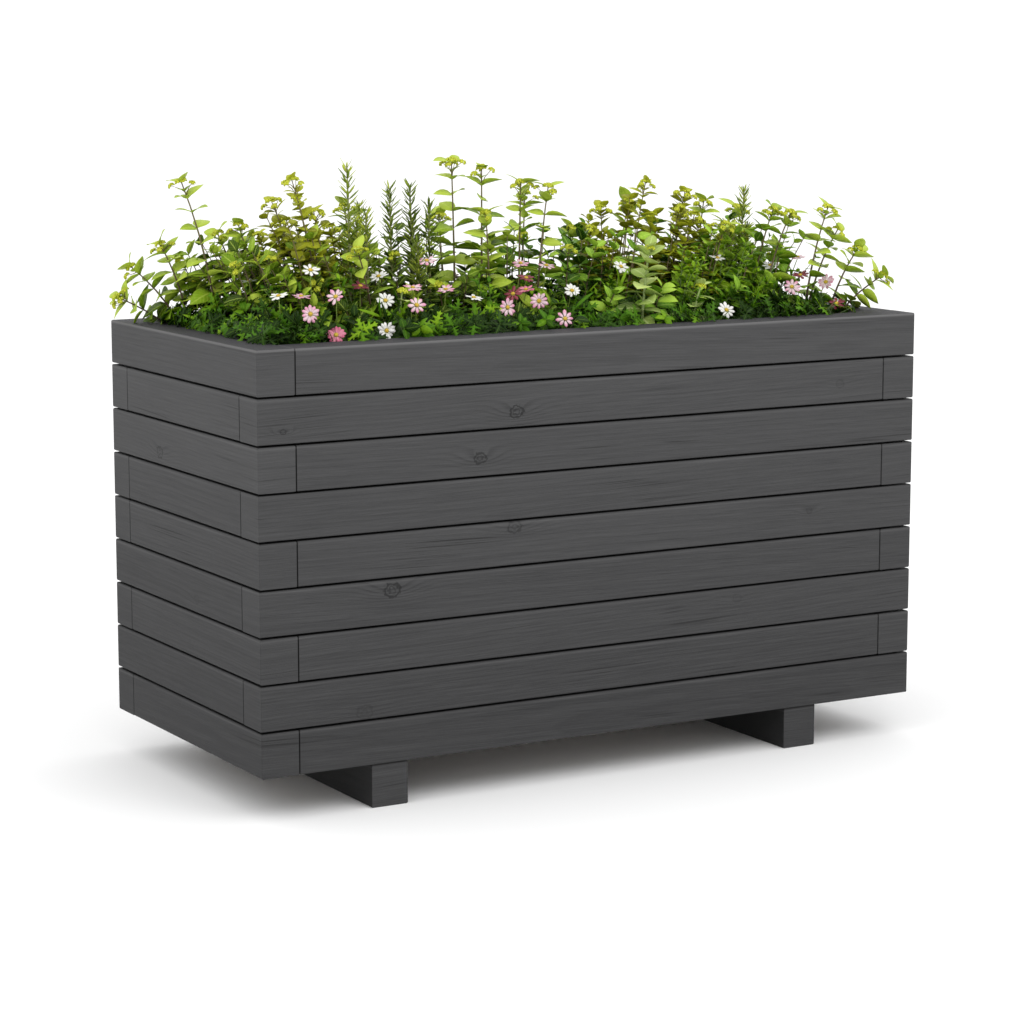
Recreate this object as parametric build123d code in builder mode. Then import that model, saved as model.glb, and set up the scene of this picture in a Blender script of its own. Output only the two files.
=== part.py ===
"""Raised planter: nine courses of solid timber stacked on two runner feet, lined, filled and planted.

Millimetres, +Z up. The origin is on the ground, under the middle of the planter.
+X runs along the long walls, -Y is the front and +Y the back.
"""

import os

from build123d import *

# Driving dimensions: the box of stacked timbers
LENGTH = 1120.0
WIDTH = 515.0
TIMBER_THICK = 58.0
TIMBER_HIGH = 64.5
COURSES = 9
COURSE_GAP = 2.4
END_GAP = 0.8
LONG_EDGE_ROUND = 2.5
END_EDGE_ROUND = 0.8

# Courses in which a long board, not a short one, runs right out to each corner (1 is the top course)
LONG_OUT_FRONT_LEFT = {2, 4, 6, 8}
LONG_OUT_FRONT_RIGHT = {1, 3, 5, 7, 9}
LONG_OUT_BACK_LEFT = {2, 4, 5, 7, 9}
LONG_OUT_BACK_RIGHT = {1, 3, 6, 8}

# The two runner feet, of the same timber, lying front to back
FOOT_SET_BACK = 5.0
FOOT_INSET = 174.0

# Posts inside the walls, and the floor
POST = 45.0
POST_BELOW_RIM = 30.0
FLOOR_BOARDS = 4
FLOOR_THICK = 20.0
FLOOR_GAP = 6.0
FLOOR_SIDE_GAP = 1.5
FLOOR_END_GAP = 1.0

# Liner, compost and tacks
LINER_THICK = 1.0
LINER_BELOW_RIM = 18.0
LINER_GAP = 0.5
LINER_HOLE_RADIUS = 6.0
COMPOST_BELOW_RIM = 28.0
COMPOST_GAP = 0.5
TACK_HEAD_RADIUS = 4.0
TACK_HEAD_THICK = 1.0
TACK_SHANK_RADIUS = 1.2
TACK_SHANK_LONG = 13.0
TACK_BELOW_LINER_TOP = 6.0
TACKS_ALONG_LONG_WALL = 6
TACKS_ALONG_SHORT_WALL = 2
TACK_SPACING = 130.0

# Wood screws through the posts and the floor, and coach screws up through the feet
SCREW_RADIUS = 2.5
SCREW_HEAD_RADIUS = 4.5
SCREW_TIP = 6.0
SCREW_CLEARANCE = 0.1
SCREW_BITE = 40.0
LONG_WALL_SCREW_RISE = 14.0
SHORT_WALL_SCREW_RISE = -2.0
TOP_SCREW_DROP = 26.0
FOOT_SCREW_SPACING = 28.0
COACH_RADIUS = 3.0
COACH_WASHER_RADIUS = 8.0
COACH_WASHER_THICK = 1.5
COACH_HEAD_RADIUS = 5.8
COACH_HEAD_HIGH = 4.0
COACH_BORE_RADIUS = 8.6
COACH_BORE_DEEP = 15.0
COACH_BITE = 45.0

# Planting: a grid of clumps, each a plain outer shape; front row first, left to right
PLANT_COLUMNS = 8
PLANT_ROWS = 3
PLANT_COLUMN_PITCH = 118.0
PLANT_ROW_PITCH = 130.0
PLANTING_PLAN = (
    ("feathery", "daisy", "feathery", "daisy", "feathery", "broad_leaf", "feathery", "daisy"),
    ("tall", "rosemary", "rosemary", "tall", "tall", "bronze", "rosemary", "tall"),
    ("tall", "bronze", "daisy", "tall", "feathery", "tall", "bronze", "tall"),
)
# kind of plant: height over the compost, widest radius, radius at the top
CLUMP_SIZES = {
    "feathery": (78.0, 57.0, 40.0),
    "daisy": (118.0, 57.0, 38.0),
    "rosemary": (255.0, 46.0, 16.0),
    "tall": (255.0, 50.0, 26.0),
    "bronze": (188.0, 56.0, 30.0),
    "broad_leaf": (133.0, 56.0, 34.0),
}
CLUMP_BASE_SHARE = 0.6
CLUMP_WIDEST_AT = 0.45

# Worked out from the driving dimensions
PITCH = TIMBER_HIGH + COURSE_GAP
BOX_BOTTOM = TIMBER_HIGH
RIM = BOX_BOTTOM + COURSES * PITCH - COURSE_GAP
INNER_LENGTH = LENGTH - 2 * TIMBER_THICK
INNER_WIDTH = WIDTH - 2 * TIMBER_THICK
FOOT_X = LENGTH / 2 - FOOT_INSET - TIMBER_THICK / 2
FOOT_LONG = WIDTH - 2 * FOOT_SET_BACK
FLOOR_TOP = BOX_BOTTOM + FLOOR_THICK
POST_TOP = RIM - POST_BELOW_RIM
POST_X = INNER_LENGTH / 2 - POST / 2
POST_Y = INNER_WIDTH / 2 - POST / 2
LINER_FLOOR = FLOOR_TOP + LINER_THICK
LINER_TOP = RIM - LINER_BELOW_RIM
COMPOST_TOP = RIM - COMPOST_BELOW_RIM
TACK_HEIGHT = LINER_TOP - TACK_BELOW_LINER_TOP
SCREW_LONG = POST + SCREW_BITE
SCREW_HOLE_RADIUS = SCREW_RADIUS + SCREW_CLEARANCE
SCREW_SINK_RADIUS = SCREW_HEAD_RADIUS + SCREW_CLEARANCE
FLOOR_SCREW_LONG = FLOOR_THICK + SCREW_BITE
FLOOR_BOARD_WIDE = (
    INNER_WIDTH - 2 * FLOOR_SIDE_GAP - (FLOOR_BOARDS - 1) * FLOOR_GAP
) / FLOOR_BOARDS
FLOOR_BOARD_PITCH = FLOOR_BOARD_WIDE + FLOOR_GAP
WALL_CENTRE_Y = WIDTH / 2 - TIMBER_THICK / 2
COACH_LONG = TIMBER_HIGH - COACH_BORE_DEEP + COACH_BITE
POST_PLACES = {
    "front_left": (-POST_X, -POST_Y),
    "front_middle": (0.0, -POST_Y),
    "front_right": (POST_X, -POST_Y),
    "back_left": (-POST_X, POST_Y),
    "back_middle": (0.0, POST_Y),
    "back_right": (POST_X, POST_Y),
}

os.makedirs("parts", exist_ok=True)


def save(piece, name):
    """Label a finished sub-part and write it as its own STEP file."""
    piece.part.label = name
    export_step(piece.part, f"parts/{name}.step")


def course_middle(course):
    """Height of the middle of a course, counted from 1 at the top."""
    return RIM - TIMBER_HIGH / 2 - (course - 1) * PITCH


def screw_heights(course):
    """Heights of the screws into the long and the short walls at a course."""
    middle = course_middle(course)
    if course == 1:
        middle -= TOP_SCREW_DROP
    return middle + LONG_WALL_SCREW_RISE, middle + SHORT_WALL_SCREW_RISE


def evenly(count, spacing):
    """Places along a line, the same distance apart and centred on zero."""
    return [(index - (count - 1) / 2) * spacing for index in range(count)]


def facing(x, y, z, direction):
    """A plane at a point on a face, its normal pointing out of the face."""
    return Plane(origin=(x, y, z), z_dir=direction)


# ---- Walls: four boards a course, their ends lapping past each other in turn at the corners ----

for course in range(1, COURSES + 1):
    middle = course_middle(course)
    long_screw_height, short_screw_height = screw_heights(course)
    long_out = {
        ("front", "left"): course in LONG_OUT_FRONT_LEFT,
        ("front", "right"): course in LONG_OUT_FRONT_RIGHT,
        ("back", "left"): course in LONG_OUT_BACK_LEFT,
        ("back", "right"): course in LONG_OUT_BACK_RIGHT,
    }
    butt = TIMBER_THICK + END_GAP

    for wall, side in (("front", -1), ("back", 1)):
        low = -LENGTH / 2 + (0 if long_out[wall, "left"] else butt)
        high = LENGTH / 2 - (0 if long_out[wall, "right"] else butt)
        inner_face = side * INNER_WIDTH / 2
        with BuildPart() as long_board:
            with BuildSketch(Plane.YZ.offset(low)):
                with Locations((side * WALL_CENTRE_Y, middle)):
                    Rectangle(TIMBER_THICK, TIMBER_HIGH)
            extrude(amount=high - low)
            fillet(long_board.edges().filter_by(Axis.X), LONG_EDGE_ROUND)
            ends = long_board.faces().filter_by(Axis.X)
            fillet(ends.edges(), END_EDGE_ROUND)
            for x in (-POST_X, 0.0, POST_X):
                with Locations(facing(x, inner_face, long_screw_height, (0, -side, 0))):
                    Hole(SCREW_RADIUS, depth=SCREW_BITE)
            if course == 1:
                for x in evenly(TACKS_ALONG_LONG_WALL, TACK_SPACING):
                    with Locations(facing(x, inner_face, TACK_HEIGHT, (0, -side, 0))):
                        Hole(TACK_SHANK_RADIUS, depth=TACK_SHANK_LONG)
            if course == COURSES:
                for foot_x in (-FOOT_X, FOOT_X):
                    for step in evenly(2, FOOT_SCREW_SPACING):
                        place = (foot_x + step, side * WALL_CENTRE_Y, BOX_BOTTOM)
                        with Locations(facing(*place, (0, 0, -1))):
                            Hole(COACH_RADIUS, depth=COACH_BITE)
        save(long_board, f"course_{course}_{wall}_board")

    for wall, side in (("left", -1), ("right", 1)):
        low = -WIDTH / 2 + (butt if long_out["front", wall] else 0)
        high = WIDTH / 2 - (butt if long_out["back", wall] else 0)
        inner_face = side * INNER_LENGTH / 2
        with BuildPart() as short_board:
            with BuildSketch(Plane.XZ.offset(-high)):
                with Locations((side * (LENGTH / 2 - TIMBER_THICK / 2), middle)):
                    Rectangle(TIMBER_THICK, TIMBER_HIGH)
            extrude(amount=high - low)
            fillet(short_board.edges().filter_by(Axis.Y), LONG_EDGE_ROUND)
            ends = short_board.faces().filter_by(Axis.Y)
            fillet(ends.edges(), END_EDGE_ROUND)
            for y in (-POST_Y, POST_Y):
                with Locations(facing(inner_face, y, short_screw_height, (-side, 0, 0))):
                    Hole(SCREW_RADIUS, depth=SCREW_BITE)
            if course == 1:
                for y in evenly(TACKS_ALONG_SHORT_WALL, TACK_SPACING):
                    with Locations(facing(inner_face, y, TACK_HEIGHT, (-side, 0, 0))):
                        Hole(TACK_SHANK_RADIUS, depth=TACK_SHANK_LONG)
        save(short_board, f"course_{course}_{wall}_board")

# ---- Feet: runners lying front to back under the walls, screwed up into the bottom course ----

for name, foot_x in (("left_foot", -FOOT_X), ("right_foot", FOOT_X)):
    with BuildPart() as foot:
        with BuildSketch(Plane.XZ.offset(-FOOT_LONG / 2)):
            with Locations((foot_x, TIMBER_HIGH / 2)):
                Rectangle(TIMBER_THICK, TIMBER_HIGH)
        extrude(amount=FOOT_LONG)
        fillet(foot.edges().filter_by(Axis.Y), LONG_EDGE_ROUND)
        ends = foot.faces().filter_by(Axis.Y)
        fillet(ends.edges(), END_EDGE_ROUND)
        for side in (-1, 1):
            for step in evenly(2, FOOT_SCREW_SPACING):
                with Locations(facing(foot_x + step, side * WALL_CENTRE_Y, 0, (0, 0, -1))):
                    CounterBoreHole(
                        COACH_RADIUS + SCREW_CLEARANCE, COACH_BORE_RADIUS, COACH_BORE_DEEP
                    )
        for y in evenly(FLOOR_BOARDS, FLOOR_BOARD_PITCH):
            for step in evenly(2, FOOT_SCREW_SPACING):
                with Locations(facing(foot_x + step, y, BOX_BOTTOM, (0, 0, 1))):
                    Hole(SCREW_RADIUS, depth=SCREW_BITE)
    save(foot, name)

# ---- Floor: boards lying along the box on the two feet, with gaps for water to drain ----

for index, y in enumerate(evenly(FLOOR_BOARDS, FLOOR_BOARD_PITCH), start=1):
    with BuildPart() as floor_board:
        with BuildSketch(Plane.XY.offset(BOX_BOTTOM)):
            with Locations((0, y)):
                Rectangle(INNER_LENGTH - 2 * FLOOR_END_GAP, FLOOR_BOARD_WIDE)
        extrude(amount=FLOOR_THICK)
        for foot_x in (-FOOT_X, FOOT_X):
            for step in evenly(2, FOOT_SCREW_SPACING):
                with Locations(facing(foot_x + step, y, FLOOR_TOP, (0, 0, 1))):
                    CounterSinkHole(SCREW_HOLE_RADIUS, SCREW_SINK_RADIUS, counter_sink_angle=90)
    save(floor_board, f"floor_board_{index}")

# ---- Posts: one in each corner and one behind the middle of each long wall ----

for name, (post_x, post_y) in POST_PLACES.items():
    into_x = 1 if post_x < 0 else -1
    into_y = 1 if post_y < 0 else -1
    with BuildPart() as post:
        with BuildSketch(Plane.XY.offset(FLOOR_TOP)):
            with Locations((post_x, post_y)):
                Rectangle(POST, POST)
        extrude(amount=POST_TOP - FLOOR_TOP)
        for course in range(1, COURSES + 1):
            long_screw_height, short_screw_height = screw_heights(course)
            face_y = post_y + into_y * POST / 2
            with Locations(facing(post_x, face_y, long_screw_height, (0, into_y, 0))):
                CounterSinkHole(SCREW_HOLE_RADIUS, SCREW_SINK_RADIUS, counter_sink_angle=90)
            if post_x:
                face_x = post_x + into_x * POST / 2
                with Locations(facing(face_x, post_y, short_screw_height, (into_x, 0, 0))):
                    CounterSinkHole(SCREW_HOLE_RADIUS, SCREW_SINK_RADIUS, counter_sink_angle=90)
    save(post, f"{name}_post")

# ---- Screws ----


def wood_screw(length):
    """A countersunk wood screw, its flat head in the XY plane and its tip down -Z."""
    neck = SCREW_HEAD_RADIUS - SCREW_RADIUS
    with BuildPart() as screw:
        with BuildSketch(Plane.XZ):
            with BuildLine():
                Polyline(
                    (0, 0),
                    (SCREW_HEAD_RADIUS, 0),
                    (SCREW_RADIUS, -neck),
                    (SCREW_RADIUS, -length + SCREW_TIP),
                    (0, -length),
                    close=True,
                )
            make_face()
        revolve(axis=Axis.Z)
    return screw.part


def coach_screw():
    """A hexagon-headed coach screw with its washer, the washer's face in the XY plane and its tip down -Z."""
    with BuildPart() as screw:
        with BuildSketch(Plane.XZ):
            with BuildLine():
                Polyline(
                    (0, COACH_WASHER_THICK),
                    (COACH_WASHER_RADIUS, COACH_WASHER_THICK),
                    (COACH_WASHER_RADIUS, 0),
                    (COACH_RADIUS, 0),
                    (COACH_RADIUS, -COACH_LONG + SCREW_TIP),
                    (0, -COACH_LONG),
                    close=True,
                )
            make_face()
        revolve(axis=Axis.Z)
        with BuildSketch(Plane.XY.offset(COACH_WASHER_THICK)):
            RegularPolygon(COACH_HEAD_RADIUS, side_count=6)
        extrude(amount=COACH_HEAD_HIGH)
    return screw.part


post_screw_places = []
for post_x, post_y in POST_PLACES.values():
    into_x = 1 if post_x < 0 else -1
    into_y = 1 if post_y < 0 else -1
    for course in range(1, COURSES + 1):
        long_screw_height, short_screw_height = screw_heights(course)
        face_y = post_y + into_y * POST / 2
        post_screw_places.append(facing(post_x, face_y, long_screw_height, (0, into_y, 0)))
        if post_x:
            face_x = post_x + into_x * POST / 2
            post_screw_places.append(facing(face_x, post_y, short_screw_height, (into_x, 0, 0)))

post_screw = wood_screw(SCREW_LONG)
with BuildPart() as post_screws:
    with Locations(*post_screw_places):
        add(post_screw)
save(post_screws, "post_screws")

floor_screw_places = [
    facing(foot_x + step, y, FLOOR_TOP, (0, 0, 1))
    for foot_x in (-FOOT_X, FOOT_X)
    for step in evenly(2, FOOT_SCREW_SPACING)
    for y in evenly(FLOOR_BOARDS, FLOOR_BOARD_PITCH)
]
floor_screw = wood_screw(FLOOR_SCREW_LONG)
with BuildPart() as floor_screws:
    with Locations(*floor_screw_places):
        add(floor_screw)
save(floor_screws, "floor_screws")

foot_screw_places = [
    facing(foot_x + step, side * WALL_CENTRE_Y, COACH_BORE_DEEP, (0, 0, -1))
    for foot_x in (-FOOT_X, FOOT_X)
    for step in evenly(2, FOOT_SCREW_SPACING)
    for side in (-1, 1)
]
foot_screw = coach_screw()
with BuildPart() as foot_screws:
    with Locations(*foot_screw_places):
        add(foot_screw)
save(foot_screws, "foot_screws")

# ---- Liner: one sheet following the walls and posts, open at the top, held by tacks ----


def inside_outline(inset):
    """Draw the space inside the walls and posts in the open sketch, pulled in by the inset."""
    Rectangle(INNER_LENGTH, INNER_WIDTH)
    with Locations(*POST_PLACES.values()):
        Rectangle(POST, POST, mode=Mode.SUBTRACT)
    offset(amount=-inset, kind=Kind.INTERSECTION)


tack_places = []
for side in (-1, 1):
    liner_face_y = side * (INNER_WIDTH / 2 - LINER_GAP - LINER_THICK)
    for x in evenly(TACKS_ALONG_LONG_WALL, TACK_SPACING):
        tack_places.append(facing(x, liner_face_y, TACK_HEIGHT, (0, -side, 0)))
    liner_face_x = side * (INNER_LENGTH / 2 - LINER_GAP - LINER_THICK)
    for y in evenly(TACKS_ALONG_SHORT_WALL, TACK_SPACING):
        tack_places.append(facing(liner_face_x, y, TACK_HEIGHT, (-side, 0, 0)))

with BuildPart() as liner:
    with BuildSketch(Plane.XY.offset(FLOOR_TOP)):
        inside_outline(LINER_GAP)
    extrude(amount=LINER_TOP - FLOOR_TOP)
    with BuildSketch(Plane.XY.offset(LINER_FLOOR)):
        inside_outline(LINER_GAP + LINER_THICK)
    extrude(amount=LINER_TOP - LINER_FLOOR, mode=Mode.SUBTRACT)
    with Locations(Plane.XY.offset(LINER_FLOOR)):
        with GridLocations(INNER_LENGTH / 5, INNER_WIDTH / 2, 4, 2):
            Hole(LINER_HOLE_RADIUS, depth=LINER_THICK)
    with Locations(*tack_places):
        Hole(TACK_SHANK_RADIUS, depth=LINER_THICK)
save(liner, "liner")

with BuildPart() as tack:
    with BuildSketch():
        Circle(TACK_HEAD_RADIUS)
    extrude(amount=TACK_HEAD_THICK)
    with BuildSketch():
        Circle(TACK_SHANK_RADIUS)
    extrude(amount=-TACK_SHANK_LONG)

with BuildPart() as liner_tacks:
    with Locations(*tack_places):
        add(tack.part)
save(liner_tacks, "liner_tacks")

with BuildPart() as compost:
    with BuildSketch(Plane.XY.offset(LINER_FLOOR)):
        inside_outline(LINER_GAP + LINER_THICK + COMPOST_GAP)
    extrude(amount=COMPOST_TOP - LINER_FLOOR)
save(compost, "compost")

# ---- Planting: each kind of plant is a group of plain clumps standing on the compost ----

for kind, (height, widest, top) in CLUMP_SIZES.items():
    places = [
        (x, y)
        for row, y in zip(PLANTING_PLAN, evenly(PLANT_ROWS, PLANT_ROW_PITCH))
        for planted, x in zip(row, evenly(PLANT_COLUMNS, PLANT_COLUMN_PITCH))
        if planted == kind
    ]
    with BuildPart() as clump:
        with BuildSketch(Plane.XZ):
            with BuildLine():
                Polyline(
                    (0, COMPOST_TOP),
                    (widest * CLUMP_BASE_SHARE, COMPOST_TOP),
                    (widest, COMPOST_TOP + height * CLUMP_WIDEST_AT),
                    (top, COMPOST_TOP + height),
                    (0, COMPOST_TOP + height),
                    close=True,
                )
            make_face()
        revolve(axis=Axis.Z)
    with BuildPart() as plants:
        with Locations(*places):
            add(clump.part)
    save(plants, f"{kind}_plants")
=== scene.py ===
"""Looks of a timber planter on runner feet, filled with herbs and daisies.

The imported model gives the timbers, feet, posts, floor, liner, compost and fixings, which keep their
shapes and get their finishes here. The plain plant clumps are replaced by modelled plants.
Everything is in metres, with +X along the long walls, -Y at the front and +Z up.
"""

import logging
import math
import random
from dataclasses import dataclass, field
from enum import Enum
from typing import Iterable, Sequence

import bmesh
import bpy
import numpy as np
from mathutils import Euler, Matrix, Vector, noise


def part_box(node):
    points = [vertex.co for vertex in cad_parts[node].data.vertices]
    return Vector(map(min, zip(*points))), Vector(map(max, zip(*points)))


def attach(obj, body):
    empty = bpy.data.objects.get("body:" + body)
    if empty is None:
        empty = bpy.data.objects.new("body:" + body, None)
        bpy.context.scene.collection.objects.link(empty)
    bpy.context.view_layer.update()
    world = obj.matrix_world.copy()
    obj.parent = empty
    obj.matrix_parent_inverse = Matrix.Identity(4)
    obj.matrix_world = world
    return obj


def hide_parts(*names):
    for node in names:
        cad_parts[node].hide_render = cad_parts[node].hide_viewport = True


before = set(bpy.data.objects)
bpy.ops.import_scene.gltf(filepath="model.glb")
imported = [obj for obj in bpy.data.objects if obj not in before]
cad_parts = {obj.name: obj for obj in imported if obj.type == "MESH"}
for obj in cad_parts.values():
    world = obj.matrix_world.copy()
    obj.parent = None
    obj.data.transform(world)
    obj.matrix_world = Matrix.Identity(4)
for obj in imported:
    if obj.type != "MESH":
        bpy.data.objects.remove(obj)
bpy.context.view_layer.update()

LOG = logging.getLogger("planter")
BODY = "root"
Colour = tuple[float, float, float]
Input = float | Sequence[float] | bpy.types.NodeSocket

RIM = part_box("course_1_front_board")[1].z
COMPOST_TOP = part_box("compost")[1].z
TIMBER_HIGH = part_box("left_foot")[1].z
COURSE_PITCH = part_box("course_1_front_board")[0].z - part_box("course_2_front_board")[0].z
HALF_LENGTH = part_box("course_1_left_board")[0].x * -1
HALF_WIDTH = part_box("course_1_left_board")[1].y
TIMBER_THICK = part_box("left_foot")[1].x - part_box("left_foot")[0].x
INSIDE_X = HALF_LENGTH - TIMBER_THICK
INSIDE_Y = HALF_WIDTH - TIMBER_THICK


# ---------------------------------------------------------------- materials


class Graph:
    """A material's nodes, with short calls that add and join them."""

    def __init__(self, name: str) -> None:
        """Start a material with one Principled shader on its output.

        Args:
            name: The material's name.
        """
        self.material = bpy.data.materials.new(name)
        self.material.use_nodes = True
        self.tree = self.material.node_tree
        self.tree.nodes.clear()
        output = self.tree.nodes.new("ShaderNodeOutputMaterial")
        self.shader = self.tree.nodes.new("ShaderNodeBsdfPrincipled")
        self.tree.links.new(self.shader.outputs["BSDF"], output.inputs["Surface"])

    def node(self, kind: str, inputs: dict[str | int, Input] | None = None, **settings: object) -> bpy.types.Node:
        """Add a node.

        Args:
            kind: The node's type, without its ShaderNode prefix.
            inputs: A value or a socket to join, by input name or number.
            settings: Properties of the node itself.

        Returns:
            The new node.
        """
        node = self.tree.nodes.new("ShaderNode" + kind)
        for key, value in settings.items():
            setattr(node, key, value)
        for key, value in (inputs or {}).items():
            self.plug(node.inputs[key], value)
        return node

    def plug(self, socket: bpy.types.NodeSocket, value: Input) -> None:
        """Join a socket to the value, or set it.

        Args:
            socket: The input socket.
            value: Another node's output, or a number or colour.
        """
        if isinstance(value, bpy.types.NodeSocket):
            self.tree.links.new(value, socket)
        elif isinstance(value, (tuple, list)) and len(value) == 3 and socket.type == "RGBA":
            socket.default_value = (*value, 1.0)
        else:
            socket.default_value = value

    def place(self) -> bpy.types.NodeSocket:
        """The point's place in the object's own coordinates, in metres."""
        return self.node("TexCoord").outputs["Object"]

    def axes(self, vector: bpy.types.NodeSocket) -> list[bpy.types.NodeSocket]:
        """The three parts of a vector."""
        return list(self.node("SeparateXYZ", {"Vector": vector}).outputs)

    def join(self, x: Input, y: Input, z: Input) -> bpy.types.NodeSocket:
        """A vector from three numbers."""
        return self.node("CombineXYZ", {0: x, 1: y, 2: z}).outputs[0]

    def scaled(self, vector: Input, along: float, across: float, up: float) -> bpy.types.NodeSocket:
        """A vector with each of its parts multiplied by its own number."""
        return self.node("VectorMath", {0: vector, 1: (along, across, up)}, operation="MULTIPLY").outputs[0]

    def math(self, operation: str, a: Input, b: Input = 0.0, c: Input = 0.0) -> bpy.types.NodeSocket:
        """The result of one sum.

        Args:
            operation: The Math node's operation.
            a: The first number.
            b: The second number.
            c: The third number, for operations that take one.

        Returns:
            The socket with the result.
        """
        return self.node("Math", {0: a, 1: b, 2: c}, operation=operation).outputs[0]

    def spread(
        self, value: Input, low: Input, high: Input, to: tuple[float, float] = (0.0, 1.0)
    ) -> bpy.types.NodeSocket:
        """A smooth step of a value from one range to another.

        Args:
            value: The number to map.
            low: Where the step starts.
            high: Where it ends.
            to: What it gives at the two ends.

        Returns:
            The socket with the result.
        """
        inputs = {"Value": value, "From Min": low, "From Max": high, "To Min": to[0], "To Max": to[1]}
        return self.node("MapRange", inputs, interpolation_type="SMOOTHSTEP").outputs["Result"]

    def noise(self, vector: Input, scale: float, detail: float = 3.0, rough: float = 0.55) -> bpy.types.NodeSocket:
        """Soft noise from 0 to 1.

        Args:
            vector: Where it is read.
            scale: Cells for each unit of the vector.
            detail: How many octaves.
            rough: How strong the finer octaves are.

        Returns:
            The socket with the noise.
        """
        inputs = {"Vector": vector, "Scale": scale, "Detail": detail, "Roughness": rough}
        return self.node("TexNoise", inputs).outputs["Fac"]

    def mix(self, factor: Input, a: Input, b: Input, blend: str = "MIX") -> bpy.types.NodeSocket:
        """Two colours mixed.

        Args:
            factor: How much of the second.
            a: The first colour.
            b: The second colour.
            blend: The blend mode.

        Returns:
            The socket with the colour.
        """
        node = self.node("Mix", data_type="RGBA", blend_type=blend)
        for index, value in ((0, factor), (6, a), (7, b)):
            self.plug(node.inputs[index], value)
        return node.outputs[2]

    def bump(self, height: Input, strength: float, distance: float) -> bpy.types.NodeSocket:
        """A bumped normal.

        Args:
            height: The height from 0 to 1.
            strength: How strong it is.
            distance: The height's full size in metres.

        Returns:
            The socket with the normal.
        """
        return self.node("Bump", {"Height": height, "Strength": strength, "Distance": distance}).outputs[0]

    def finish(self, **inputs: Input) -> bpy.types.Material:
        """Set the shader's inputs and hand over the material.

        Args:
            inputs: Values or sockets, by the input's name with spaces as underscores.

        Returns:
            The finished material.
        """
        for key, value in inputs.items():
            self.plug(self.shader.inputs[key.replace("_", " ")], value)
        return self.material


class Grain(Enum):
    """Which way the fibres of a timber run."""

    ALONG_X = "x"
    ALONG_Y = "y"


@dataclass(frozen=True)
class Knot:
    """A knot in a wall: its place along it, its height over the floor, its radius and how much it shows."""

    along: float
    high: float
    radius: float
    strength: float = 1.0


@dataclass(frozen=True)
class BoardPlace:
    """Where a point of the timbers lies, as a material's sockets, in metres.

    Attributes:
        z: The height over the floor.
        along: The distance along the fibres from the planter's middle.
        level: A level distance that runs on round the corners.
        inward: The distance out from the middle of the wall's thickness.
        up: The height over the middle of the course.
        from_end: The distance from the planter's end, along the fibres.
        inner_face: The distance out from the wall's inner face.
        course: The course's number, from below.
        side: -1 on the front and left walls, 1 on the others.
        first: The board's first random draw.
        second: The board's second random draw.
        faces_x: How much the surface faces along X.
        lengthwise: How much it faces along the fibres.
        flat: How much it faces up or down.
    """

    z: Input
    along: Input
    level: Input
    inward: Input
    up: Input
    from_end: Input
    inner_face: Input
    course: Input
    side: Input
    first: Input
    second: Input
    faces_x: Input
    lengthwise: Input
    flat: Input


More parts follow.
